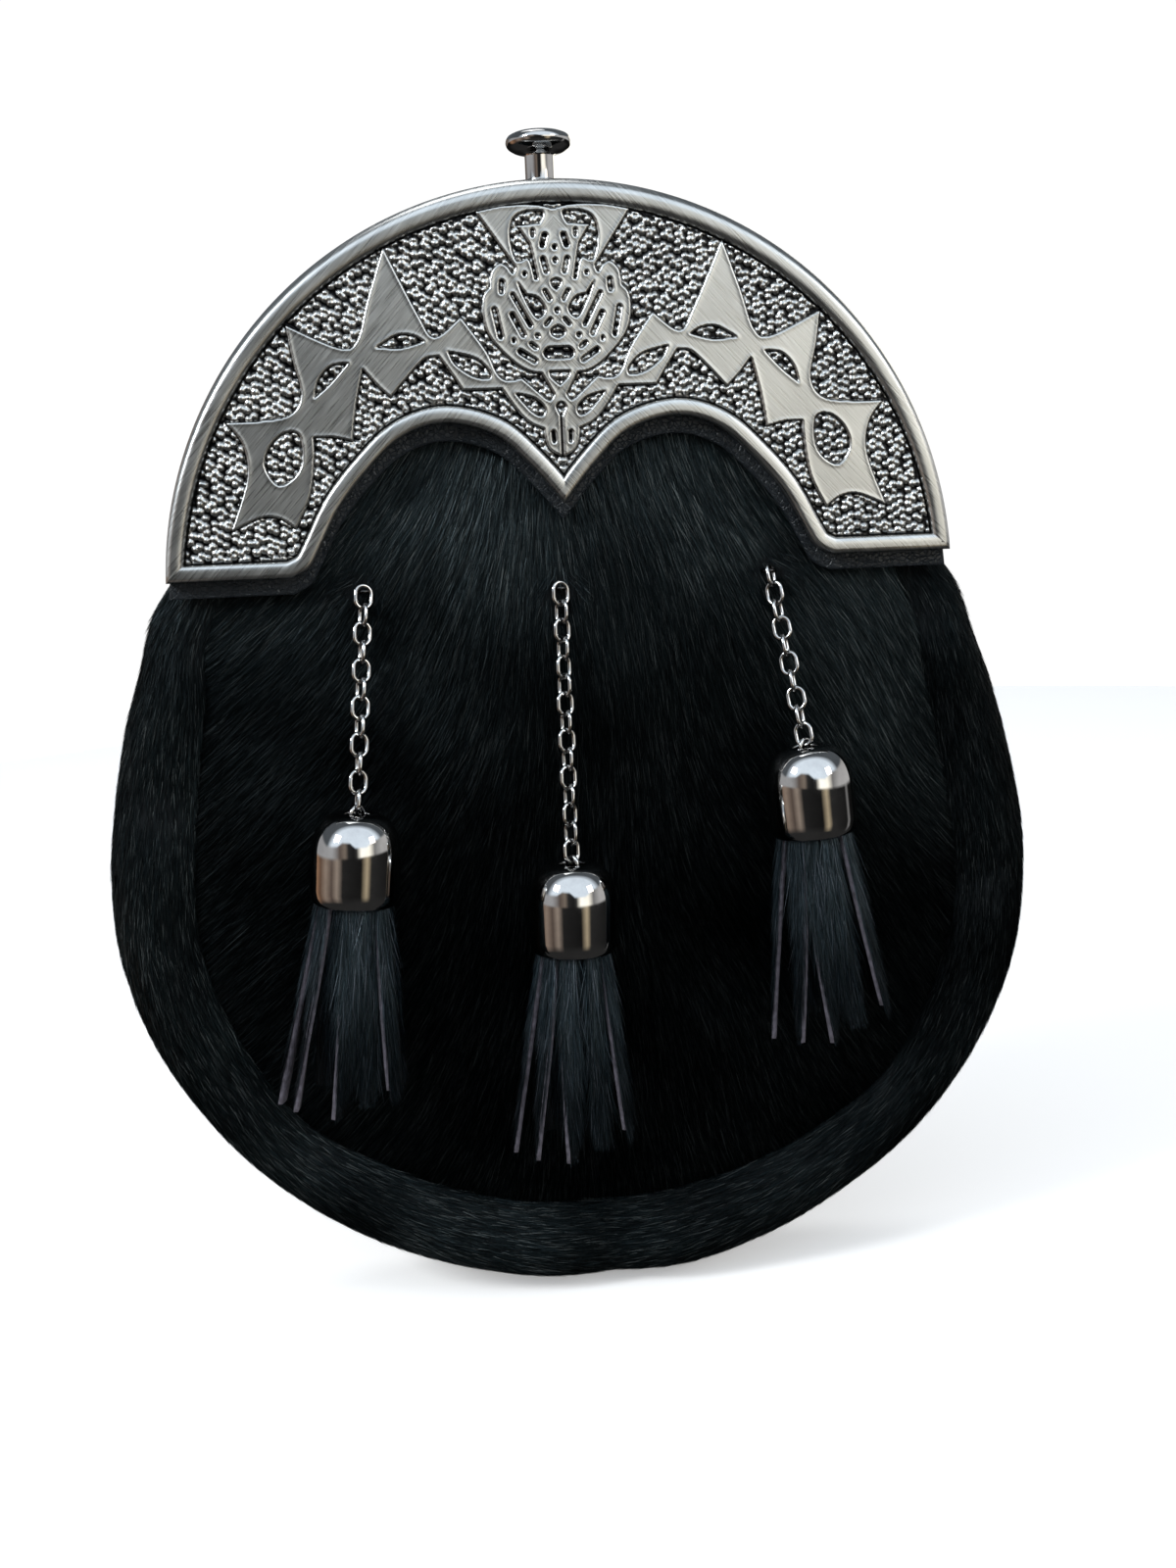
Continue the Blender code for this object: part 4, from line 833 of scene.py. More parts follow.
def build_cantle():
    """Face, rim, back plate and the lug that carries the knob."""
    outline = cantle_outline()
    build_face(outline)
    back = RIM_RISE + CANTLE_PLATE
    flared = cantle_outline(RIM_FLARE)
    sections = [inset_to_middle(outline, RIM_WIDTH), flared]
    depths = [back, back]
    for share in (0.0, 0.25, 0.5, 0.75, 0.92):
        sections.append(outline + (flared - outline) * (1.0 - share**2.2))
        depths.append(RIM_WALL + (0.18 * RIM_RISE - RIM_WALL) * share)
    for share, drop in RIM_SECTION:
        sections.append(inset_to_middle(outline, share * RIM_WIDTH))
        depths.append(drop * RIM_RISE)
    count = len(outline)
    points = np.concatenate([np.insert(path, 1, depth, axis=1) for path, depth in zip(sections, depths)])
    faces = grid_faces(len(sections), count, True, True)
    rim = edited(new_mesh("cantle_rim", world(points), faces), face_out)
    shares = [0.9] + [0.2] * 6 + [share for share, _ in RIM_SECTION]
    hollow = (np.repeat(shares, count) > 0.96) | (np.repeat(depths, count) > RIM_RISE * 1.3)
    set_attribute(rim, "wear", np.where(hollow, 0.35, 1.0))
    add_piece(rim, PEWTER, "pewter", sharp=60)

    place = (0.0, back - PLATE_THICKNESS / 2 - PLATE_SINK, 0.0)
    outlines = [inset(outline, PLATE_INSET)]
    plate = flat_plate("cantle_back", outlines, PLATE_THICKNESS, PLATE_EDGE, place, pi / 2)
    set_attribute(plate, "wear", 0.5)
    add_piece(plate, PEWTER, "pewter", smooth=False)
    low = np.array((-LUG_WIDTH / 2, back - PLATE_THICKNESS, CANTLE_HEIGHT - APRON_DROP + GAP))
    high = np.array((LUG_WIDTH / 2, back + LUG_DEPTH, CANTLE_HEIGHT + RIM_FLARE - GAP))

    def make_lug(bm):
        bmesh.ops.create_cube(bm, size=1.0)
        for vertex in bm.verts:
            vertex.co = world(low + (high - low) * (np.array(vertex.co) + 0.5))
        bevel_edges(bm, LUG_EDGE, 4)

    lug = edited(bpy.data.meshes.new("cantle_lug"), make_lug)
    set_attribute(lug, "wear", 1.0)
    add_piece(lug, PEWTER, "pewter", sharp=50)


def build_knob():
    disc = KNOB_DIAMETER / 2
    stem = STEM_DIAMETER / 2
    collar = COLLAR_DIAMETER / 2
    top = KNOB_HEIGHT
    profile = (
        (0.0, top), (0.70 * disc, top - 0.04 * KNOB_DISC), (0.93 * disc, top - 0.2 * KNOB_DISC),
        (disc, top - 0.45 * KNOB_DISC), (0.95 * disc, top - 0.7 * KNOB_DISC),
        (0.75 * disc, top - 0.9 * KNOB_DISC), (stem, top - KNOB_DISC), (stem, COLLAR_HEIGHT),
        (collar, COLLAR_HEIGHT), (collar, 0.0), (0.0, 0.0),
    )
    depth = RIM_RISE + CANTLE_PLATE + LUG_DEPTH - collar - GAP
    place = (KNOB_OFFSET, depth, CANTLE_HEIGHT + RIM_FLARE + GAP)
    knob = put(turned_mesh("knob", rounded(profile, KNOB_EDGE)), place)
    add_piece(knob, POLISHED, "gunmetal", "cantle_knob")


# Hide: every hair is one narrow triangle, and the hairs of a coat are joined into one mesh
HAIR_SINK = 0.0001


def scatter(grid, count, rng, keep=None):
    """Places spread evenly over a grid of points, with the normal and the way down the rows at each."""
    a = grid[:-1, :-1]
    down = grid[1:, :-1] - a
    over = grid[:-1, 1:] - a
    across = grid[1:, 1:] - grid[1:, :-1]
    normal = np.cross(down, over + across)
    weight = np.linalg.norm(normal, axis=-1)
    if keep is not None:
        weight = weight * keep(a)
    pick = rng.choice(weight.size, count, p=weight.ravel() / weight.sum())
    u = rng.random((count, 1))
    v = rng.random((count, 1))
    i, j = np.unravel_index(pick, weight.shape)
    upper = grid[i, j] * (1 - v) + grid[i, j + 1] * v
    lower = grid[i + 1, j] * (1 - v) + grid[i + 1, j + 1] * v
    return upper * (1 - u) + lower * u, unit(normal[i, j]), unit(down[i, j])


def hairs(name, roots, normals, along, length, width, lift, tone, rng, material, slot):
    """One spike per root, lying along a direction, lifting towards its tip and turned a little sideways."""
    count = len(roots)
    along = unit(along - normals * np.sum(along * normals, axis=1, keepdims=True))
    reach = unit(along + normals * lift[:, None])
    roll = rng.normal(0, 0.6, count)[:, None]
    side = np.cross(along, normals) * np.cos(roll) + normals * np.sin(roll)
    foot = roots - normals * HAIR_SINK
    offset = side * width[:, None] / 2
    points = np.stack([foot - offset, foot + offset, roots + reach * length[:, None]], axis=1)
    shade = np.repeat(rng.random(count), 3)
    tone = np.repeat(np.broadcast_to(tone, count), 3)
    faces = np.arange(3 * count).reshape(-1, 3)
    mesh = new_mesh(name, world(points.reshape(-1, 3)), faces, shade=shade, tone=tone)
    add_piece(mesh, material, slot, smooth=False)


def wobble(x, z, seed, size):
    """A soft random value from -1 to 1 that changes over a size, from a few waves."""
    rng = np.random.default_rng(seed)
    value = np.zeros(np.shape(x))
    for _ in range(6):
        angle = rng.uniform(0, 2 * pi)
        wave = 2 * pi / (size * rng.uniform(0.7, 1.6))
        value += np.sin((x * cos(angle) + z * sin(angle)) * wave + rng.uniform(0, 6.28))
    return value / 3.5


def panel_grid(rings=26, steps=180):
    angle = np.linspace(0.5, 179.5, steps)
    shares = np.linspace(0.0, 1.0, rings) ** 0.8
    radius = through_table(angle, 1) * BODY_RADIUS - through_table(angle, 2) * BAND_WIDTH - GAP
    halves = []
    for side in (1, -1):
        points = body_points(side, angle[None, :], shares[:, None] * radius[None, :], 0.0)
        depth = SEAM_DEPTH - PANEL_CROWN * crown_share(points[..., 2]) * (1.0 - shares[:, None] ** 3)
        soft = wobble(points[..., 0], points[..., 2], 5, 0.060) * 0.0004 * (1.0 - shares[:, None] ** 4)
        points[..., 1] = depth + soft
        halves.append(points)
    right, left = halves
    return np.concatenate([right, left[:, ::-1]], axis=1)


def apron_edge(x):
    """Height of the apron's lower edge."""
    path = smooth_path(CANTLE_EDGE, (CANTLE_WIDTH / 2, CANTLE_HEIGHT), 10, closed=False)
    return np.interp(np.abs(x), path[:, 0], path[:, 1]) - APRON_DROP


def fur_flow(x, z):
    """Direction the hair lies on the front: down in the middle, outwards and down on both sides."""
    share = np.clip(x / 0.055, -1.0, 1.0)
    share = np.sign(share) * np.abs(share) ** 0.85
    turn = np.where(share > 0, share * 33.0, share * 50.0)
    turn = turn + wobble(x, z, 8, 0.050) * 9.0
    return upright(np.radians(270.0 + turn))


# Numbers of hairs on the front, on each band and round each staple, and on a tassel's core and each strip
FRONT_HAIRS = 118000
BAND_HAIRS = 108000
TUFT_HAIRS = 420
CORE_HAIRS = 9000
STRIP_HAIRS = 3000

# Seeds of the random draws
FRONT_SEED = 21
BAND_SEED = 31
PENDANT_SEED = 50

# The hair parts round a small hole where a chain comes out, darkened there with painted shade
PARTING = 0.0014
PARTING_RISE = 0.0010


def add_hide(mesh, replaced):
    piece = add_piece(mesh, SKIN, "hide", replaced)
    thickness = piece.modifiers.new("thickness", "SOLIDIFY")
    thickness.thickness = HIDE_THICKNESS
    thickness.offset = -1.0


def face_front(bm):
    if sum(face.normal.y for face in bm.faces) > 0:
        bmesh.ops.reverse_faces(bm, faces=bm.faces)


def below_apron(places):
    return places[..., 2] < apron_edge(places[..., 0]) + 0.004


def build_front():
    grid = panel_grid()
    mesh = new_mesh("front_hide", world(grid.reshape(-1, 3)), grid_faces(*grid.shape[:2], False, True))
    add_hide(edited(mesh, merge_doubles, face_out, face_front), "front_panel")
    around = np.concatenate([grid, grid[:, :1]], axis=1)
    for name, seed, over in (("front_fur_under", FRONT_SEED, 0.75), ("front_fur_over", FRONT_SEED + 1, 1.0)):
        rng = np.random.default_rng(seed)
        roots, normals, _ = scatter(around, FRONT_HAIRS, rng, below_apron)
        normals = np.where(normals[:, 1:2] > 0, -normals, normals)
        x, _, z = roots.T
        flow = unit(fur_flow(x, z) + rng.normal(0, 0.075, roots.shape) * (1.0, 0.0, 1.0))
        length = rng.uniform(0.0050, 0.0095, FRONT_HAIRS) * over
        width = rng.uniform(0.00009, 0.00018, FRONT_HAIRS)
        lift = np.abs(rng.normal(0.05, 0.035, FRONT_HAIRS)) * over
        # Painted light and shade in the hair's colour and gloss: much lighter towards the top and on the
        # right, darkest low in the middle, with soft random patches
        tone = 0.30 + 0.7 * smooth_step(-0.055, 0.0, z) + 3.2 * smooth_step(-0.010, 0.040, z)
        tone += 1.8 * smooth_step(0.030, 0.070, x) * smooth_step(-0.08, -0.01, z)
        tone *= 1.0 + 0.45 * wobble(x, z, 12, 0.035)
        for row in PENDANTS:
            bar = pendant_places(*row[1:])[0]
            away = np.hypot(x - bar[0], z - bar[2] - PARTING_RISE)
            above = (z > bar[2]) & (away < length + PARTING)
            length[above] = np.minimum(length[above], np.maximum(away[above] - PARTING, PARTING))
            # Painted shade: the hair darkens round each staple to make the hole the chain comes out of
            tone *= 1.0 - 0.95 * np.exp(-((away / (2 * PARTING)) ** 2))
        hairs(name, roots, normals, flow, length, width, lift, tone, rng, HAIR, "hide")


# How far the bands lean over each other at the bottom seam, and their section: the share of the width
# over which they roll forward, the crest's place from the outside, and the depth of the outermost line.
SEAM_LEAN = 0.0040
ROLL_SHARE = 0.45
CREST_SHARE = 0.55
WAIST_SHARE = 0.45


def band_grid(side, steps=150):
    rows = []
    for angle in np.linspace(0.0, 180.0, steps):
        radius = through_table(angle, 1) * BODY_RADIUS
        band = through_table(angle, 2) * BAND_WIDTH
        roll = max(through_table(angle, 3), 0.0) * BAND_ROLL
        for dent_side, dent_angle, half_width, depth in DENTS:
            if dent_side == side:
                roll -= depth * BAND_ROLL * exp(-(((angle - dent_angle) / half_width) ** 2))
        crest = SEAM_DEPTH - max(roll, 0.0)
        back = back_depth((radius - BACK_INSET) * cos(radians(angle)) - CENTRE_DROP)
        middle = SEAM_DEPTH + WAIST_SHARE * (back - SEAM_DEPTH)
        points = []
        for share in (1.0, 0.97, 0.92, 0.86, 0.79, 0.71, 0.63):
            rise = sin(pi / 2 * (1 - share) / ROLL_SHARE) ** 0.8
            points.append((share * band, SEAM_DEPTH - (SEAM_DEPTH - crest) * rise))
        for turn in arc(90, 0, 11):
            across = CREST_SHARE * band * (1 - cos(turn))
            points.append((across, middle - (middle - crest) * sin(turn)))
        for turn in arc(0, 90, 10)[1:]:
            points.append((BACK_INSET * (1 - cos(turn)), middle + (back - middle) * sin(turn)))
        points = np.array(points)
        row = body_points(side, angle, radius - points[:, 0], points[:, 1])
        row[:, 0] += SEAM_LEAN * (0.5 - points[:, 0] / band) * smooth_step(150.0, 176.0, angle)
        rows.append(row)
    return np.array(rows)


def build_bands():
    middle = np.array((0.0, 0.5 * (SEAM_DEPTH + POUCH_DEPTH_BOTTOM), -CENTRE_DROP))
    for name, side in (("left", -1), ("right", 1)):
        grid = band_grid(side)
        faces = grid_faces(*grid.shape[:2])
        flat = grid.reshape(-1, 3)
        mesh = new_mesh("band_hide_" + name, world(flat), faces)
        a, b, _, d = flat[faces.T]
        if np.sum(np.cross(b - a, d - a) * (a - middle)) < 0:
            mesh.flip_normals()
        add_hide(mesh, "gusset_" + name)
        rng = np.random.default_rng(BAND_SEED + side)
        roots, normals, down = scatter(grid, BAND_HAIRS, rng)
        if np.median(np.sum(normals * (roots - middle), axis=1)) < 0:
            normals = -normals
        x, y, z = roots.T
        length = rng.uniform(0.0035, 0.0065, BAND_HAIRS)
        width = rng.uniform(0.00012, 0.00022, BAND_HAIRS)
        lift = np.abs(rng.normal(0.04, 0.03, BAND_HAIRS))
        spread = unit(down + rng.normal(0, 0.08, down.shape))
        # Painted light and shade in the hair's colour and gloss: the left band lighter than the right,
        # lighter towards the bottom, darker near the middle line, with soft random patches
        tone = (1.5 if side < 0 else 0.65) + 0.55 * smooth_step(-0.10, -0.17, z)
        tone *= 1.0 - 0.45 * smooth_step(0.020, 0.004, side * x + (side > 0) * 0.004)
        tone *= 1.0 + 0.55 * wobble(x + y, z, 14, 0.030)
        hairs("band_fur_" + name, roots, normals, spread, length, width, lift, tone, rng, HAIR, "hide")


def build_tuft(name, bar, rng):
    """Hair that parts round a staple and falls over its feet."""
    count = TUFT_HAIRS
    turn = rng.uniform(0, 2 * pi, count)
    reach = rng.uniform(0.0022, 0.0052, count)
    away = upright(turn)
    roots = bar + (0.0, STAPLE_REACH, 0.0) + away * reach[:, None]
    flow = fur_flow(roots[:, 0], roots[:, 2])
    along = unit(flow + 0.55 * away + rng.normal(0, 0.10, (count, 3)))
    normals = np.tile((0.0, -1.0, 0.0), (count, 1))
    length = rng.uniform(0.003, 0.006, count)
    lift = rng.uniform(0.15, 0.55, count)
    width = rng.uniform(0.00010, 0.00018, count)
    hairs("staple_tuft_" + name, roots, normals, along, length, width, lift, 1.6, rng, HAIR, "hide")


# Chains, caps and tassels
def pendant_places(across, below, links, chain_lean, tassel_lean):
    """The same run of links and the same cap place as the solids have."""
    up = -below * BODY_RADIUS
    share = min(hypot(across * BODY_RADIUS, up + CENTRE_DROP) / (BODY_RADIUS - BAND_WIDTH), 1.0)
    face = SEAM_DEPTH - PANEL_CROWN * crown_share(up) * (1.0 - share**3)
    bar = np.array((across * BODY_RADIUS + sway(up), face - STAPLE_REACH, up))
    pitch = LINK_LENGTH - 2 * LINK_WIRE + LINK_BITE
    bar_to_centre = LINK_LENGTH / 2 - LINK_WIRE - GAP - LINK_WIRE / 2
    length = bar_to_centre + (links - 1) * pitch
    forward = panel_depth(bar[2] - length - CAP_HEIGHT) - CAP_DIAMETER / 2 - 3 * GAP - bar[1]
    sideways = length * sin(radians(chain_lean))
    drop = sqrt(length**2 - forward**2 - sideways**2)
    direction = np.array((sideways, forward, -drop)) / length
    first = bar + direction * bar_to_centre
    last = first + direction * pitch * (links - 1)
    eye_top = last + direction * (LINK_LENGTH / 2 - LINK_WIRE - GAP - LINK_WIRE)
    lean = radians(tassel_lean)
    down = np.array((sin(lean), 0.0, -cos(lean)))
    washer_top = eye_top + down * (EYE_LENGTH - EYE_SINK)
    return bar, first, direction, pitch, down, washer_top


def tube(centre, side, lift, wire, closed, sides=10):
    """Points and faces of a round wire along a path, from two directions across it at every point."""
    turn = ring(sides)[None, :, None]
    offset = side[:, None] * np.cos(turn) + lift[:, None] * np.sin(turn)
    return (centre[:, None] + offset * wire / 2).reshape(-1, 3), grid_faces(len(centre), sides, closed, True)


def wire_loop(width, length, wire, steps=28):
    """A closed oval wire loop in its own XZ plane."""
    radius = (width - wire) / 2
    straight = (length - width) / 2
    out = upright(ring(steps, 0.5))
    centre = out * radius
    centre[:, 2] += np.where(out[:, 2] > 0, straight, -straight)
    return tube(centre, out, np.array([(0, 1, 0)]), wire, True)


def wire_along(route, wire):
    """An open wire through a route of points."""
    along = unit(np.gradient(route, axis=0))
    side = unit(np.cross(along, (0.0, 0.0, 1.0)))
    return tube(route, side, np.cross(side, along), wire, False)


def joined(name, parts):
    """One mesh from parts of (points, faces)."""
    points = []
    faces = []
    start = 0
    for part_points, part_faces in parts:
        points.append(part_points)
        faces.append(part_faces + start)
        start += len(part_points)
    return edited(new_mesh(name, world(np.concatenate(points)), np.concatenate(faces)), face_out)


def rotation(degrees, axis):
    return np.array(Matrix.Rotation(radians(degrees), 3, axis))


def build_pendant(name, *pendant):
    """Chain, eye, staple, washer, bell cap and tassel of one row of PENDANTS."""
    bar, first, direction, pitch, down, washer_top = pendant_places(*pendant)
    _, _, links, _, tassel_lean = pendant
    rng = np.random.default_rng(PENDANT_SEED + links)
    loop, loop_faces = wire_loop(LINK_WIDTH, LINK_LENGTH + LINK_BITE, LINK_WIRE)
    slant = np.array(Vector(direction).to_track_quat("-Z", "Y").to_matrix())
    parts = []
    for index in range(links):
        swing = rotation(LINK_TURN + 90 * (index % 2) + rng.uniform(-9, 9), "Z")
        parts.append(((slant @ swing @ loop.T).T + first + direction * pitch * index, loop_faces))
    add_piece(joined("chain_links_" + name, parts), POLISHED, "gunmetal", "chain_" + name)

    lean = rotation(-tassel_lean, "Y")
    lean_angle = radians(-tassel_lean)
    eye, eye_faces = wire_loop(EYE_WIDTH, EYE_LENGTH, LINK_WIRE)
    eye = eye @ rotation(LINK_TURN + 90 * (links % 2), "Z").T + (0.0, 0.0, EYE_LENGTH / 2 - EYE_SINK)
    add_piece(joined("cap_eye_" + name, [(eye @ lean.T + washer_top, eye_faces)]), POLISHED, "gunmetal")

    build_tuft(name, bar, rng)
    half = STAPLE_SPREAD / 2
    behind = STAPLE_REACH + HIDE_THICKNESS * 0.5
    route = [(-half, behind, 0.0)]
    for turn in arc(0, 180, 9):
        route.append((-half * cos(turn), STAPLE_REACH * 0.5 * (1 - sin(turn)), 0.0))
    route = np.array(route + [(half, behind, 0.0)])
    staple = joined("staple_wire_" + name, [wire_along(route + bar, LINK_WIRE)])
    # The staple wire's darkness is painted shade, not a darker metal
    add_piece(staple, SHADED_WIRE, "gunmetal", "chain_staple_" + name)

    edge = CAP_HOLE / 2 + WASHER_LAP
    profile = ((0.0, 0.0), (edge, 0.0), (edge, -WASHER_THICKNESS), (0.0, -WASHER_THICKNESS))
    washer = turned_mesh("cap_washer_" + name, rounded(profile, WASHER_EDGE, 3), 32)
    put(washer, washer_top, lean_angle, "Y")
    add_piece(washer, POLISHED, "gunmetal", "tassel_hanger_" + name)

    cap = turned_mesh("bell_cap_" + name, cap_profile(), 72)
    put(cap, washer_top - down * (CAP_WALL + GAP), lean_angle, "Y")
    add_piece(cap, POLISHED, "gunmetal", "tassel_cap_" + name)
    build_tassel(name, washer_top + down * (WASHER_THICKNESS + GAP), lean, rng)


def cap_profile():
    """The bell cap's section: hole, dome, straight wall and rolled foot, then back up inside."""
    outer = CAP_DIAMETER / 2 + CAP_SWELL
    wall = CAP_WALL
    hole = CAP_HOLE / 2
    profile = [(hole, CAP_CROWN - wall), (hole, CAP_CROWN - 0.3 * wall), (hole + 0.3 * wall, CAP_CROWN)]
    for t in arc(0, 90, 18):
        profile.append((CAP_FLAT + (outer - CAP_FLAT) * sin(t),
                        CAP_CROWN - CAP_DOME * (1 - cos(t))))
    for into, above in ((0, 4.2), (0.15, 2.6), (0.5, 1.3), (1, 0.45), (1.5, 0), (2.2, 0.4), (1, 3.5)):
        profile.append((outer - into * wall, above * wall - CAP_HEIGHT))
    for t in arc(90, 0, 9):
        profile.append((CAP_FLAT + (outer - wall - CAP_FLAT) * sin(t),
                        CAP_CROWN - wall - (CAP_DOME - wall) * (1 - cos(t))))
    return profile + [profile[0]]


def strip_grid(angle, spread, length, twist, bow):
    """Rows of four corners down one strip: outer left, outer right, inner right, inner left."""
    turn = radians(angle)
    outwards = np.array((cos(turn), sin(turn), 0.0))
    tangent = np.array((-sin(turn), cos(turn), 0.0))
    rows = []
    for share in np.linspace(0.10, 1.0, 22):
        reach = np.interp(share, (0.10, 0.42, 1.0), (0.0, 0.38, 1.0))
        wide = np.interp(share, (0.10, 0.42, 0.9, 1.0), (0.75, 1.0, 1.05, 0.90)) * STRIP_WIDTH
        thick = np.interp(share, (0.10, 0.42, 1.0), (0.8, 0.75, 0.62)) * STRIP_THICKNESS
        centre = outwards * TASSEL_HEAD / 2 * (0.86 + spread * reach)
        centre = centre + tangent * bow * sin(pi * share) - (0, 0, share * length * TASSEL_LENGTH)
        swing = radians(twist) * smooth_step(0.2, 1.0, share)
        side = (tangent * cos(swing) + outwards * sin(swing)) * wide / 2
        face = (outwards * cos(swing) - tangent * sin(swing)) * thick / 2
        rows.append([centre - side + face, centre + side + face, centre + side - face, centre - side - face])
    return np.array(rows)


def core_grid(steps=36):
    """The bundle of hair inside a tassel, as rows of points round its axis."""
    shares = np.linspace(0.22, 0.82, 24)[:, None]
    turn = arc(0, 360, steps + 1)
    radius = TASSEL_HEAD / 2 * (0.84 + 0.25 * (shares - 0.22)) * np.interp(shares, (0.5, 0.82), (1.0, 0.72))
    radius = radius * (1.0 + 0.20 * np.sin(5 * turn + 1.0) * shares)
    depth = -shares * TASSEL_LENGTH
    return np.stack(np.broadcast_arrays(radius * np.cos(turn), radius * np.sin(turn), depth), axis=-1)


def build_tassel(name, head_top, lean, rng):
    """Nine strips round a core and a head, and their hair."""
    parts = []
    haired = []
    core = core_grid()
    surfaces = [(core, CORE_HAIRS, 1.0)]
    for angle, spread, length, twist, bare in STRIPS:
        grid = strip_grid(angle + rng.uniform(-5, 5), spread, length, twist + rng.uniform(-8, 8),
                          rng.uniform(-0.0012, 0.0012))
        parts.append((grid.reshape(-1, 3), bar_faces(len(grid))))
        haired += [True, not bare, not bare, not bare] * (len(grid) - 1) + [False, False]
        surfaces.append((grid[:, :2], STRIP_HAIRS, 0.6))
    parts.append((core.reshape(-1, 3) * (0.92, 0.92, 1.0), grid_faces(*core.shape[:2])))
    head = [(TASSEL_HEAD / 2 * cos(t), TASSEL_HEAD / 2 * sin(t), height)
            for height in (0.0, -CAP_HEIGHT * 0.62) for t in ring(24)]
    parts.append((np.array(head), grid_faces(2, 24, False, True)))
    mesh = joined("tassel_strips_" + name, [(points @ lean.T + head_top, faces) for points, faces in parts])
    mesh.materials.append(SUEDE)
    mesh.materials.append(SKIN)
    haired += [True] * (len(mesh.polygons) - len(haired))
    mesh.polygons.foreach_set("material_index", np.array(haired, np.int32))
    add_piece(mesh, SUEDE, "tassel_hide", "tassel_" + name, smooth=False)

    roots = []
    normals = []
    downs = []
    reach = []
    for grid, count, share in surfaces:
        place, normal, down = scatter(grid, count, rng)
        axis = grid.mean(axis=(0, 1)) * (0.0, 0.0, 1.0)
        if np.mean(np.sum(normal * (place - axis) * (1, 1, 0), axis=1)) < 0:
            normal = -normal
        roots.append(place)
        normals.append(normal)
        downs.append(down)
        reach.append(np.full(count, share))
    roots = np.concatenate(roots)
    fallen = -roots[:, 2] / TASSEL_LENGTH
    roots = roots @ lean.T + head_top
    normals = np.concatenate(normals) @ lean.T
    total = len(roots)
    along = unit(np.concatenate(downs) @ lean.T + rng.normal(0, 0.11, (total, 3)))
    left = (rng.uniform(0.84, 0.98, total) - fallen) * TASSEL_LENGTH
    length = np.minimum(rng.uniform(0.007, 0.013, total), np.maximum(left, 0.0012))
    width = rng.uniform(0.00010, 0.00018, total)
    lift = np.abs(rng.normal(0.05, 0.06, total)) * np.concatenate(reach)
    # Painted light: the hair is lighter near the cap and fades to dark down the tassel, with a random spread
    tone = 0.45 + 1.5 * smooth_step(0.72, 0.28, fallen) * rng.uniform(0.3, 1.0, total)
    hairs("tassel_fur_" + name, roots, normals, along, length, width, lift, tone, rng, TASSEL_HAIR,
          "tassel_hide")


# Leather: apron, back, flap, loops
APRON_EDGE = 0.0006
BACK_EDGE = 0.0005
FLAP_EDGE = 0.0007
FLAP_STRAIGHT = 0.45
LOOP_EDGE = 0.0006
MOUTH_CORNER = 0.3
FLAP_STITCH_INSET = 0.0042
BACK_STITCH_INSET = 0.0045

# Ways out of the sloping back and up along it
BACK_OUT = np.array((0.0, cos(BACK_SLOPE), sin(BACK_SLOPE)))
BACK_UP = np.array((0.0, -sin(BACK_SLOPE), cos(BACK_SLOPE)))


def on_back(across, up, out):
    return np.array((across, back_depth(up), up)) + out * BACK_OUT


def add_leather(name, outlines, thickness, edge, place, turn, replaced):
    mesh = flat_plate(name, outlines, thickness, edge, place, turn)
    add_piece(mesh, LEATHER, "leather", replaced, sharp=60)


def build_apron():
    place = (0.0, APRON_DEPTH + APRON_THICKNESS / 2, -APRON_DROP)
    add_leather("apron", [cantle_outline()], APRON_THICKNESS, APRON_EDGE, place, pi / 2, "leather_apron")


def rounded_box(width, height, radius):
    outline = []
    for right, top, start in ((1, 1, 0), (-1, 1, 90), (-1, -1, 180), (1, -1, 270)):
        for t in arc(start, start + 90, 7):
            outline.append((right * (width / 2 - radius) + radius * cos(t),
                            top * (height / 2 - radius) + radius * sin(t)))
    return np.array(outline)


def build_back():
    turn = pi / 2 + BACK_SLOPE
    angle = np.linspace(0.0, 180.0, 110)
    radius = through_table(angle, 1) * BODY_RADIUS - BACK_INSET - GAP
    around = np.concatenate([body_points(1, angle, radius, 0.0), body_points(-1, angle, radius, 0.0)[::-1]])
    outline = np.stack([around[:, 0], (around[:, 2] - MOUTH_RISE) / cos(BACK_SLOPE)], axis=1)
    mouth = rounded_box(MOUTH_WIDTH, MOUTH_HEIGHT, MOUTH_HEIGHT * MOUTH_CORNER)
    place = on_back(0.0, MOUTH_RISE, -BACK_LEATHER / 2)
    add_leather("back_leather", [outline, mouth], BACK_LEATHER, BACK_EDGE, place, turn, "back_panel")

    half = FLAP_WIDTH / 2
    straight = FLAP_LENGTH * FLAP_STRAIGHT
    flap = [(half, 0.0)]
    for t in arc(0, 180, 49):
        flap.append((half * cos(t), -straight - (FLAP_LENGTH - straight) * sin(t)))
    flap = np.array(flap + [(-half, 0.0)])
    top = MOUTH_RISE + MOUTH_HEIGHT / 2 + FLAP_OVERLAP
    place = on_back(0.0, top, GAP + FLAP_THICKNESS / 2)
    add_leather("flap", [flap], FLAP_THICKNESS, FLAP_EDGE, place, turn, "back_flap")
    add_stitches("flap_stitches", flap, FLAP_STITCH_INSET, top, GAP + FLAP_THICKNESS)
    add_stitches("back_stitches", outline, BACK_STITCH_INSET, MOUTH_RISE, 0.0)

    radius = STUD_DIAMETER / 2
    profile = [(0.0, STUD_RISE)]
    for t in arc(6, 90, 12):
        profile.append((radius * sin(t), STUD_RISE * (0.25 + 0.75 * cos(t))))
    profile += [(radius, 0.0), (0.0, 0.0)]
    place = on_back(0.0, top - FLAP_LENGTH + STUD_DIAMETER * 1.2, GAP + FLAP_THICKNESS + GAP)
    snap = put(turned_mesh("flap_snap", profile, 48), place, BACK_SLOPE - pi / 2)
    add_piece(snap, POLISHED, "gunmetal", "flap_stud")


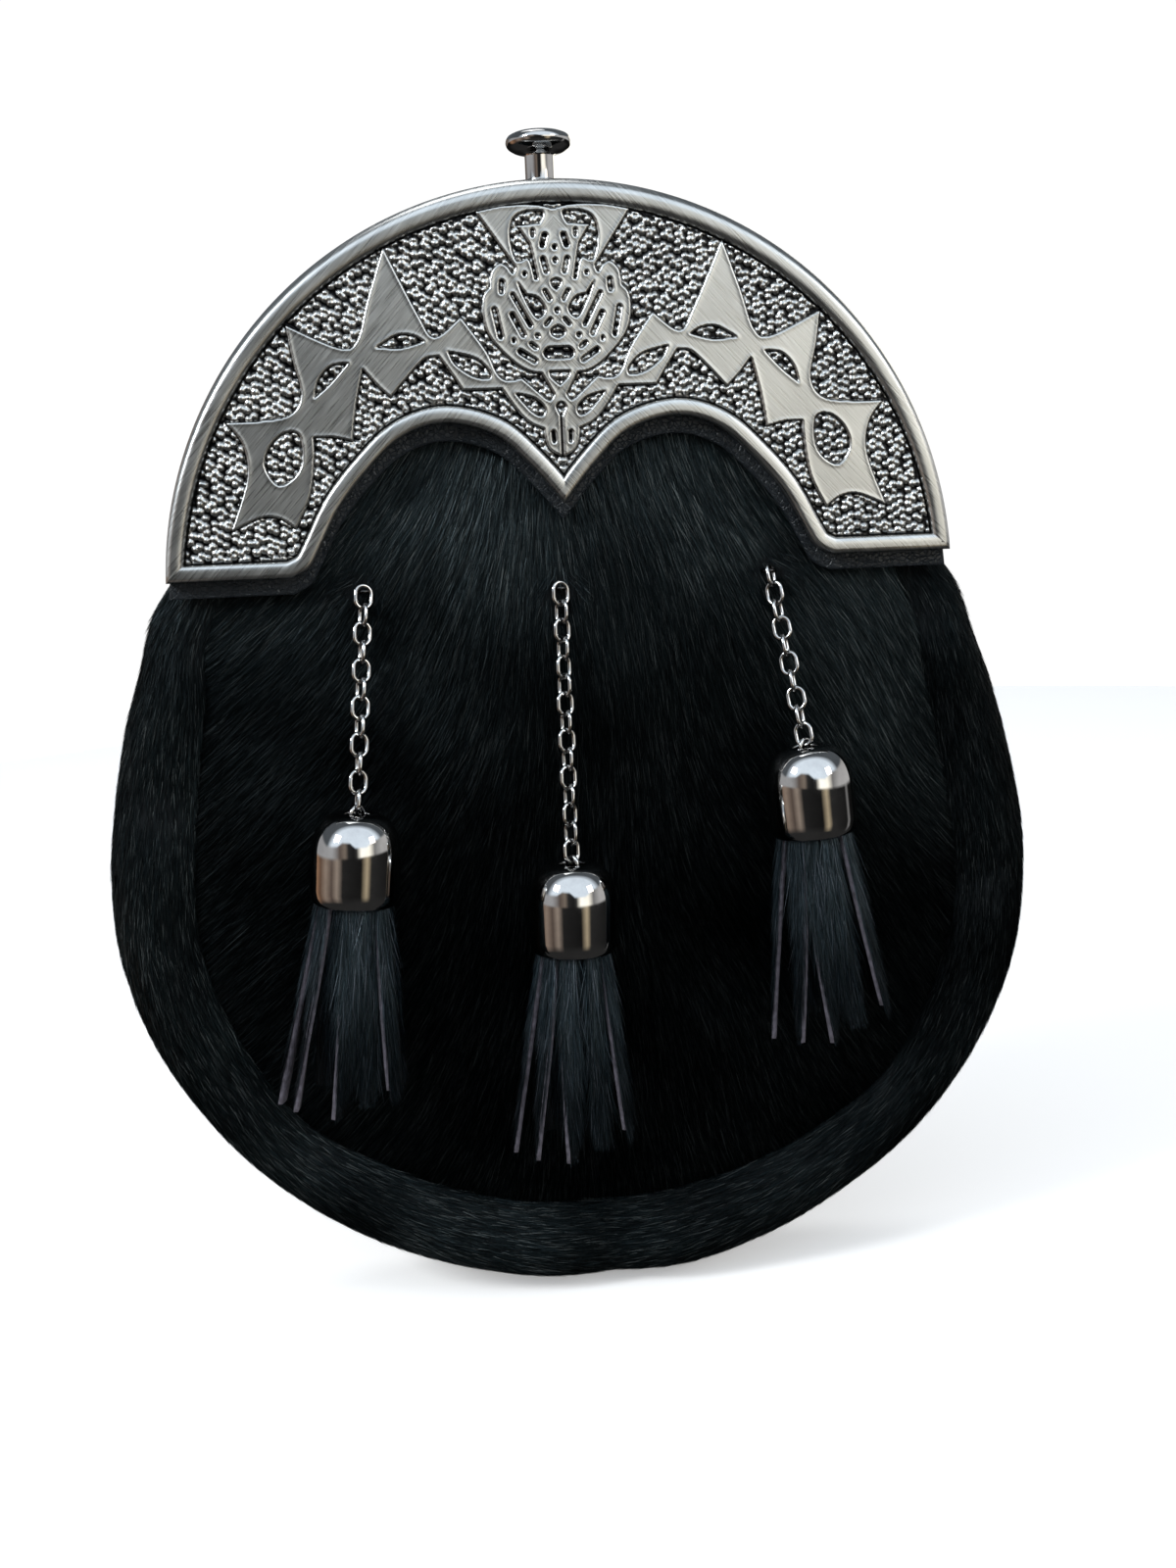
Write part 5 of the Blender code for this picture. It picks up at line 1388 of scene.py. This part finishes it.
# Stitches. Columns of a stitch's section: share of its length, share of its size, lift.
STITCH_PITCH = 0.0031
STITCH_WIDTH = 0.00060
STITCH_HEIGHT = 0.00048
STITCH_SLANT = 0.0004
STITCH_ROWS = ((0.0, 0.35, -0.0001), (0.15, 0.9, 0.0001), (0.5, 1.0, 0.00018), (0.85, 0.9, 0.0001),
               (1.0, 0.35, -0.0001))


def add_stitches(name, outline, inside, up, out):
    """A row of short thread stitches that follow an outline on the back, each one slightly slanted."""
    path = inset(outline, inside if turning(outline) > 0 else -inside)
    path = np.concatenate([path, path[:1]])
    run = np.concatenate([[0.0], np.cumsum(np.linalg.norm(np.diff(path, axis=0), axis=1))])
    parts = []
    for start in np.arange(0.0, run[-1] - STITCH_PITCH, STITCH_PITCH):
        first, last = [np.array((np.interp(at, run, path[:, 0]), np.interp(at, run, path[:, 1])))
                       for at in (start + 0.00035, start + STITCH_PITCH - 0.00045)]
        along = unit(last - first)
        side = np.array((-along[1], along[0]))
        rows = []
        for share, size, lift in STITCH_ROWS:
            centre = first + (last - first) * share + side * (share - 0.5) * STITCH_SLANT
            base = on_back(0.0, up, out + lift)
            for t in ring(6):
                x, z = centre + side * cos(t) * STITCH_WIDTH / 2 * size
                rise = sin(t) * STITCH_HEIGHT / 2 * size
                rows.append(base + (x, 0.0, 0.0) + rise * BACK_OUT + z * BACK_UP)
        parts.append((np.array(rows), grid_faces(len(STITCH_ROWS), 6, False, True)))
    add_piece(joined(name, parts), THREAD, "leather")


def build_loops():
    half = SLOT_HEIGHT / 2
    foot = half + LOOP_THICKNESS + LOOP_FOOT
    bend = SLOT_DEPTH * 0.5
    thick = LOOP_THICKNESS
    shoulder = half - bend + 0.4 * thick
    # Pairs of an inner and an outer point of (up, out), from a foot to the middle
    pairs = (
        ((foot, 0.0), (foot, thick)), ((half, 0.0), (half + thick, thick)),
        ((half, bend), (half + thick, bend + 0.4 * thick)),
        ((half - bend, SLOT_DEPTH), (shoulder, SLOT_DEPTH + thick)),
    )
    points = []
    for way, ordered in ((-1, pairs), (1, reversed(pairs))):
        for inner, outer in ordered:
            for across, (up, out) in ((-1, inner), (1, inner), (1, outer), (-1, outer)):
                points.append((across * LOOP_WIDTH / 2, out, way * up))
    for name, side in (("left", -1), ("right", 1)):
        loop = new_mesh("belt_loop_" + name, points, bar_faces(len(points) // 4))
        edited(loop, face_out, lambda bm: bevel_edges(bm, LOOP_EDGE, 3))
        put(loop, on_back(side * LOOP_SPACING / 2, STRAP_HEIGHT, GAP), BACK_SLOPE)
        add_piece(loop, LEATHER, "leather", "strap_loop_" + name, sharp=45)


# Camera, light and floor
CAMERA_PLACE = (-0.036617, -0.366771, -0.022524)
CAMERA_YAW = 6.4034
CAMERA_PITCH = -9.2
CAMERA_ROLL = 2.3839
CAMERA_LENS = 38.25

FLOOR_RADIUS = 0.80
FLOOR_CENTRE = (0.20, 0.40)
FLOOR_GAP = 0.0012

# Area lights, all aimed at one point. Columns: name, place, size, power, colour.
LIGHT_AIM = (0.0, 0.0, -0.06)
LIGHTS = (
    ("key", (-0.95, -0.65, 0.62), 0.30, 12.0, (0.92, 0.97, 1.0)),
    ("right", (0.80, -0.75, 0.45), 0.30, 1.6, (1.0, 0.93, 0.84)),
    ("top", (-0.10, 0.25, 1.00), 0.50, 2.6, (0.95, 0.98, 1.0)),
)


def build_camera():
    yaw, pitch, roll = np.radians((CAMERA_YAW, CAMERA_PITCH, CAMERA_ROLL))
    forward = Vector((sin(yaw) * cos(pitch), cos(yaw) * cos(pitch), sin(pitch)))
    right = Vector((cos(yaw), -sin(yaw), 0.0))
    up = right.cross(forward)
    across = right * cos(roll) - up * sin(roll)
    upward = right * sin(roll) + up * cos(roll)
    data = bpy.data.cameras.new("camera")
    data.lens = CAMERA_LENS
    data.sensor_width = 36.0
    data.clip_start = 0.01
    data.clip_end = 50.0
    camera = bpy.data.objects.new("camera", data)
    bpy.context.scene.collection.objects.link(camera)
    turn = Matrix((across, upward, -forward)).transposed().to_4x4()
    camera.matrix_world = Matrix.Translation(CAMERA_PLACE) @ turn
    bpy.context.scene.camera = camera


def build_floor():
    mesh = bpy.data.meshes.new("floor")
    edited(mesh, lambda bm: bmesh.ops.create_circle(bm, cap_ends=True, radius=FLOOR_RADIUS, segments=96))
    floor = bpy.data.objects.new("floor", mesh)
    floor.location = (*FLOOR_CENTRE, cad_box[0][2] - FLOOR_GAP)
    bpy.context.scene.collection.objects.link(floor)
    looks = {"Base Color": (0.88, 0.85, 0.83), "Roughness": 0.9, "Emission Color": (1.0, 1.0, 1.0),
             "Emission Strength": 0.34}
    mesh.materials.append(finished(new_material("floor")[0], looks))
    floor.visible_glossy = False


def build_lights():
    for name, place, size, power, colour in LIGHTS:
        data = bpy.data.lights.new(name, "AREA")
        data.size = size
        data.energy = power
        data.color = colour
        light = bpy.data.objects.new(name, data)
        light.location = place
        light.rotation_euler = (Vector(LIGHT_AIM) - Vector(place)).to_track_quat("-Z", "Y").to_euler()
        bpy.context.scene.collection.objects.link(light)


def build_sky():
    """What the metal reflects: a street between ground and sky. The camera itself sees plain white."""
    sky = bpy.data.worlds.new("studio")
    bpy.context.scene.world = sky
    sky.use_nodes = True
    tree = sky.node_tree
    tree.nodes.clear()

    def shifted(socket, scale=0.5, offset=0.5):
        return add_node(tree, "Math", {0: socket, 1: scale, 2: offset}, operation="MULTIPLY_ADD")

    x, y, z = split_vector(tree, add_node(tree, "TexCoord", {}, "Generated"))
    height = shifted(z)
    round_about = add_node(tree, "Math", {0: x, 1: shifted(y, -1.0, 0.0)}, operation="ARCTAN2")
    bearing = shifted(round_about, 0.5 / pi)
    street = ramp(tree, shifted(x), (
        (0.06, (0.60, 0.61, 0.63)), (0.18, (0.18, 0.14, 0.12)), (0.28, (0.34, 0.28, 0.23)),
        (0.35, 0.04), (0.46, 0.02), (0.53, 0.05), (0.57, (0.80, 0.78, 0.70)),
        (0.63, (2.3, 2.25, 2.05)), (0.78, (2.2, 2.12, 1.88)), (0.88, 0.35), (0.97, 0.80),
    ))
    low_street = ramp(tree, bearing, (
        (0.14, 0.01), (0.18, (0.60, 0.34, 0.20)), (0.23, (0.20, 0.12, 0.08)), (0.28, (0.46, 0.36, 0.29)),
        (0.33, (0.16, 0.12, 0.10)), (0.37, (0.50, 0.41, 0.34)), (0.41, 0.03), (0.54, 0.015),
        (0.58, (0.75, 0.62, 0.42)), (0.61, 0.04), (0.74, 0.02), (0.76, 0.35), (0.78, 0.01),
    ))
    roofs = ramp(tree, bearing, (
        (0.20, 0.05), (0.27, 0.0), (0.36, 0.03), (0.40, 0.10), (0.46, 0.10), (0.50, 0.02), (0.58, 0.0),
        (0.64, 0.07),
    ))
    above = add_node(tree, "Math", {0: height, 1: roofs}, operation="SUBTRACT")
    open_sky = ramp(tree, above, ((0.60, 0.0), (0.64, 1.0)))
    in_front = ramp(tree, shifted(y), ((0.30, 1.0), (0.42, 0.10)))
    ground = ramp(tree, height, ((0.22, 1.0), (0.34, 0.0)))
    low = ramp(tree, height, ((0.47, 1.0), (0.50, 0.0)))
    colour = mix_colours(tree, "MIX", low, street, low_street)
    blue = mix_colours(tree, "MULTIPLY", 1.0, in_front, (1.4, 1.6, 1.8))
    colour = mix_colours(tree, "MIX", open_sky, colour, blue)
    colour = mix_colours(tree, "MIX", ground, colour, (0.04, 0.04, 0.04))
    lit = add_node(tree, "Background", {"Color": colour, "Strength": 1.0})
    plain = add_node(tree, "Background", {"Color": (1.0, 1.0, 1.0), "Strength": 1.05})
    seen = add_node(tree, "LightPath", {}, "Is Camera Ray")
    surface = add_node(tree, "MixShader", {0: seen, 1: lit, 2: plain})
    fill(tree, tree.nodes.new("ShaderNodeOutputWorld"), {"Surface": surface})


build_camera()
build_floor()
build_lights()
build_sky()
bpy.context.scene.view_settings.view_transform = "Standard"
bpy.context.scene.view_settings.look = "None"
build_cantle()
build_knob()
build_apron()
build_front()
build_bands()
build_back()
build_loops()
for row in PENDANTS:
    build_pendant(*row)
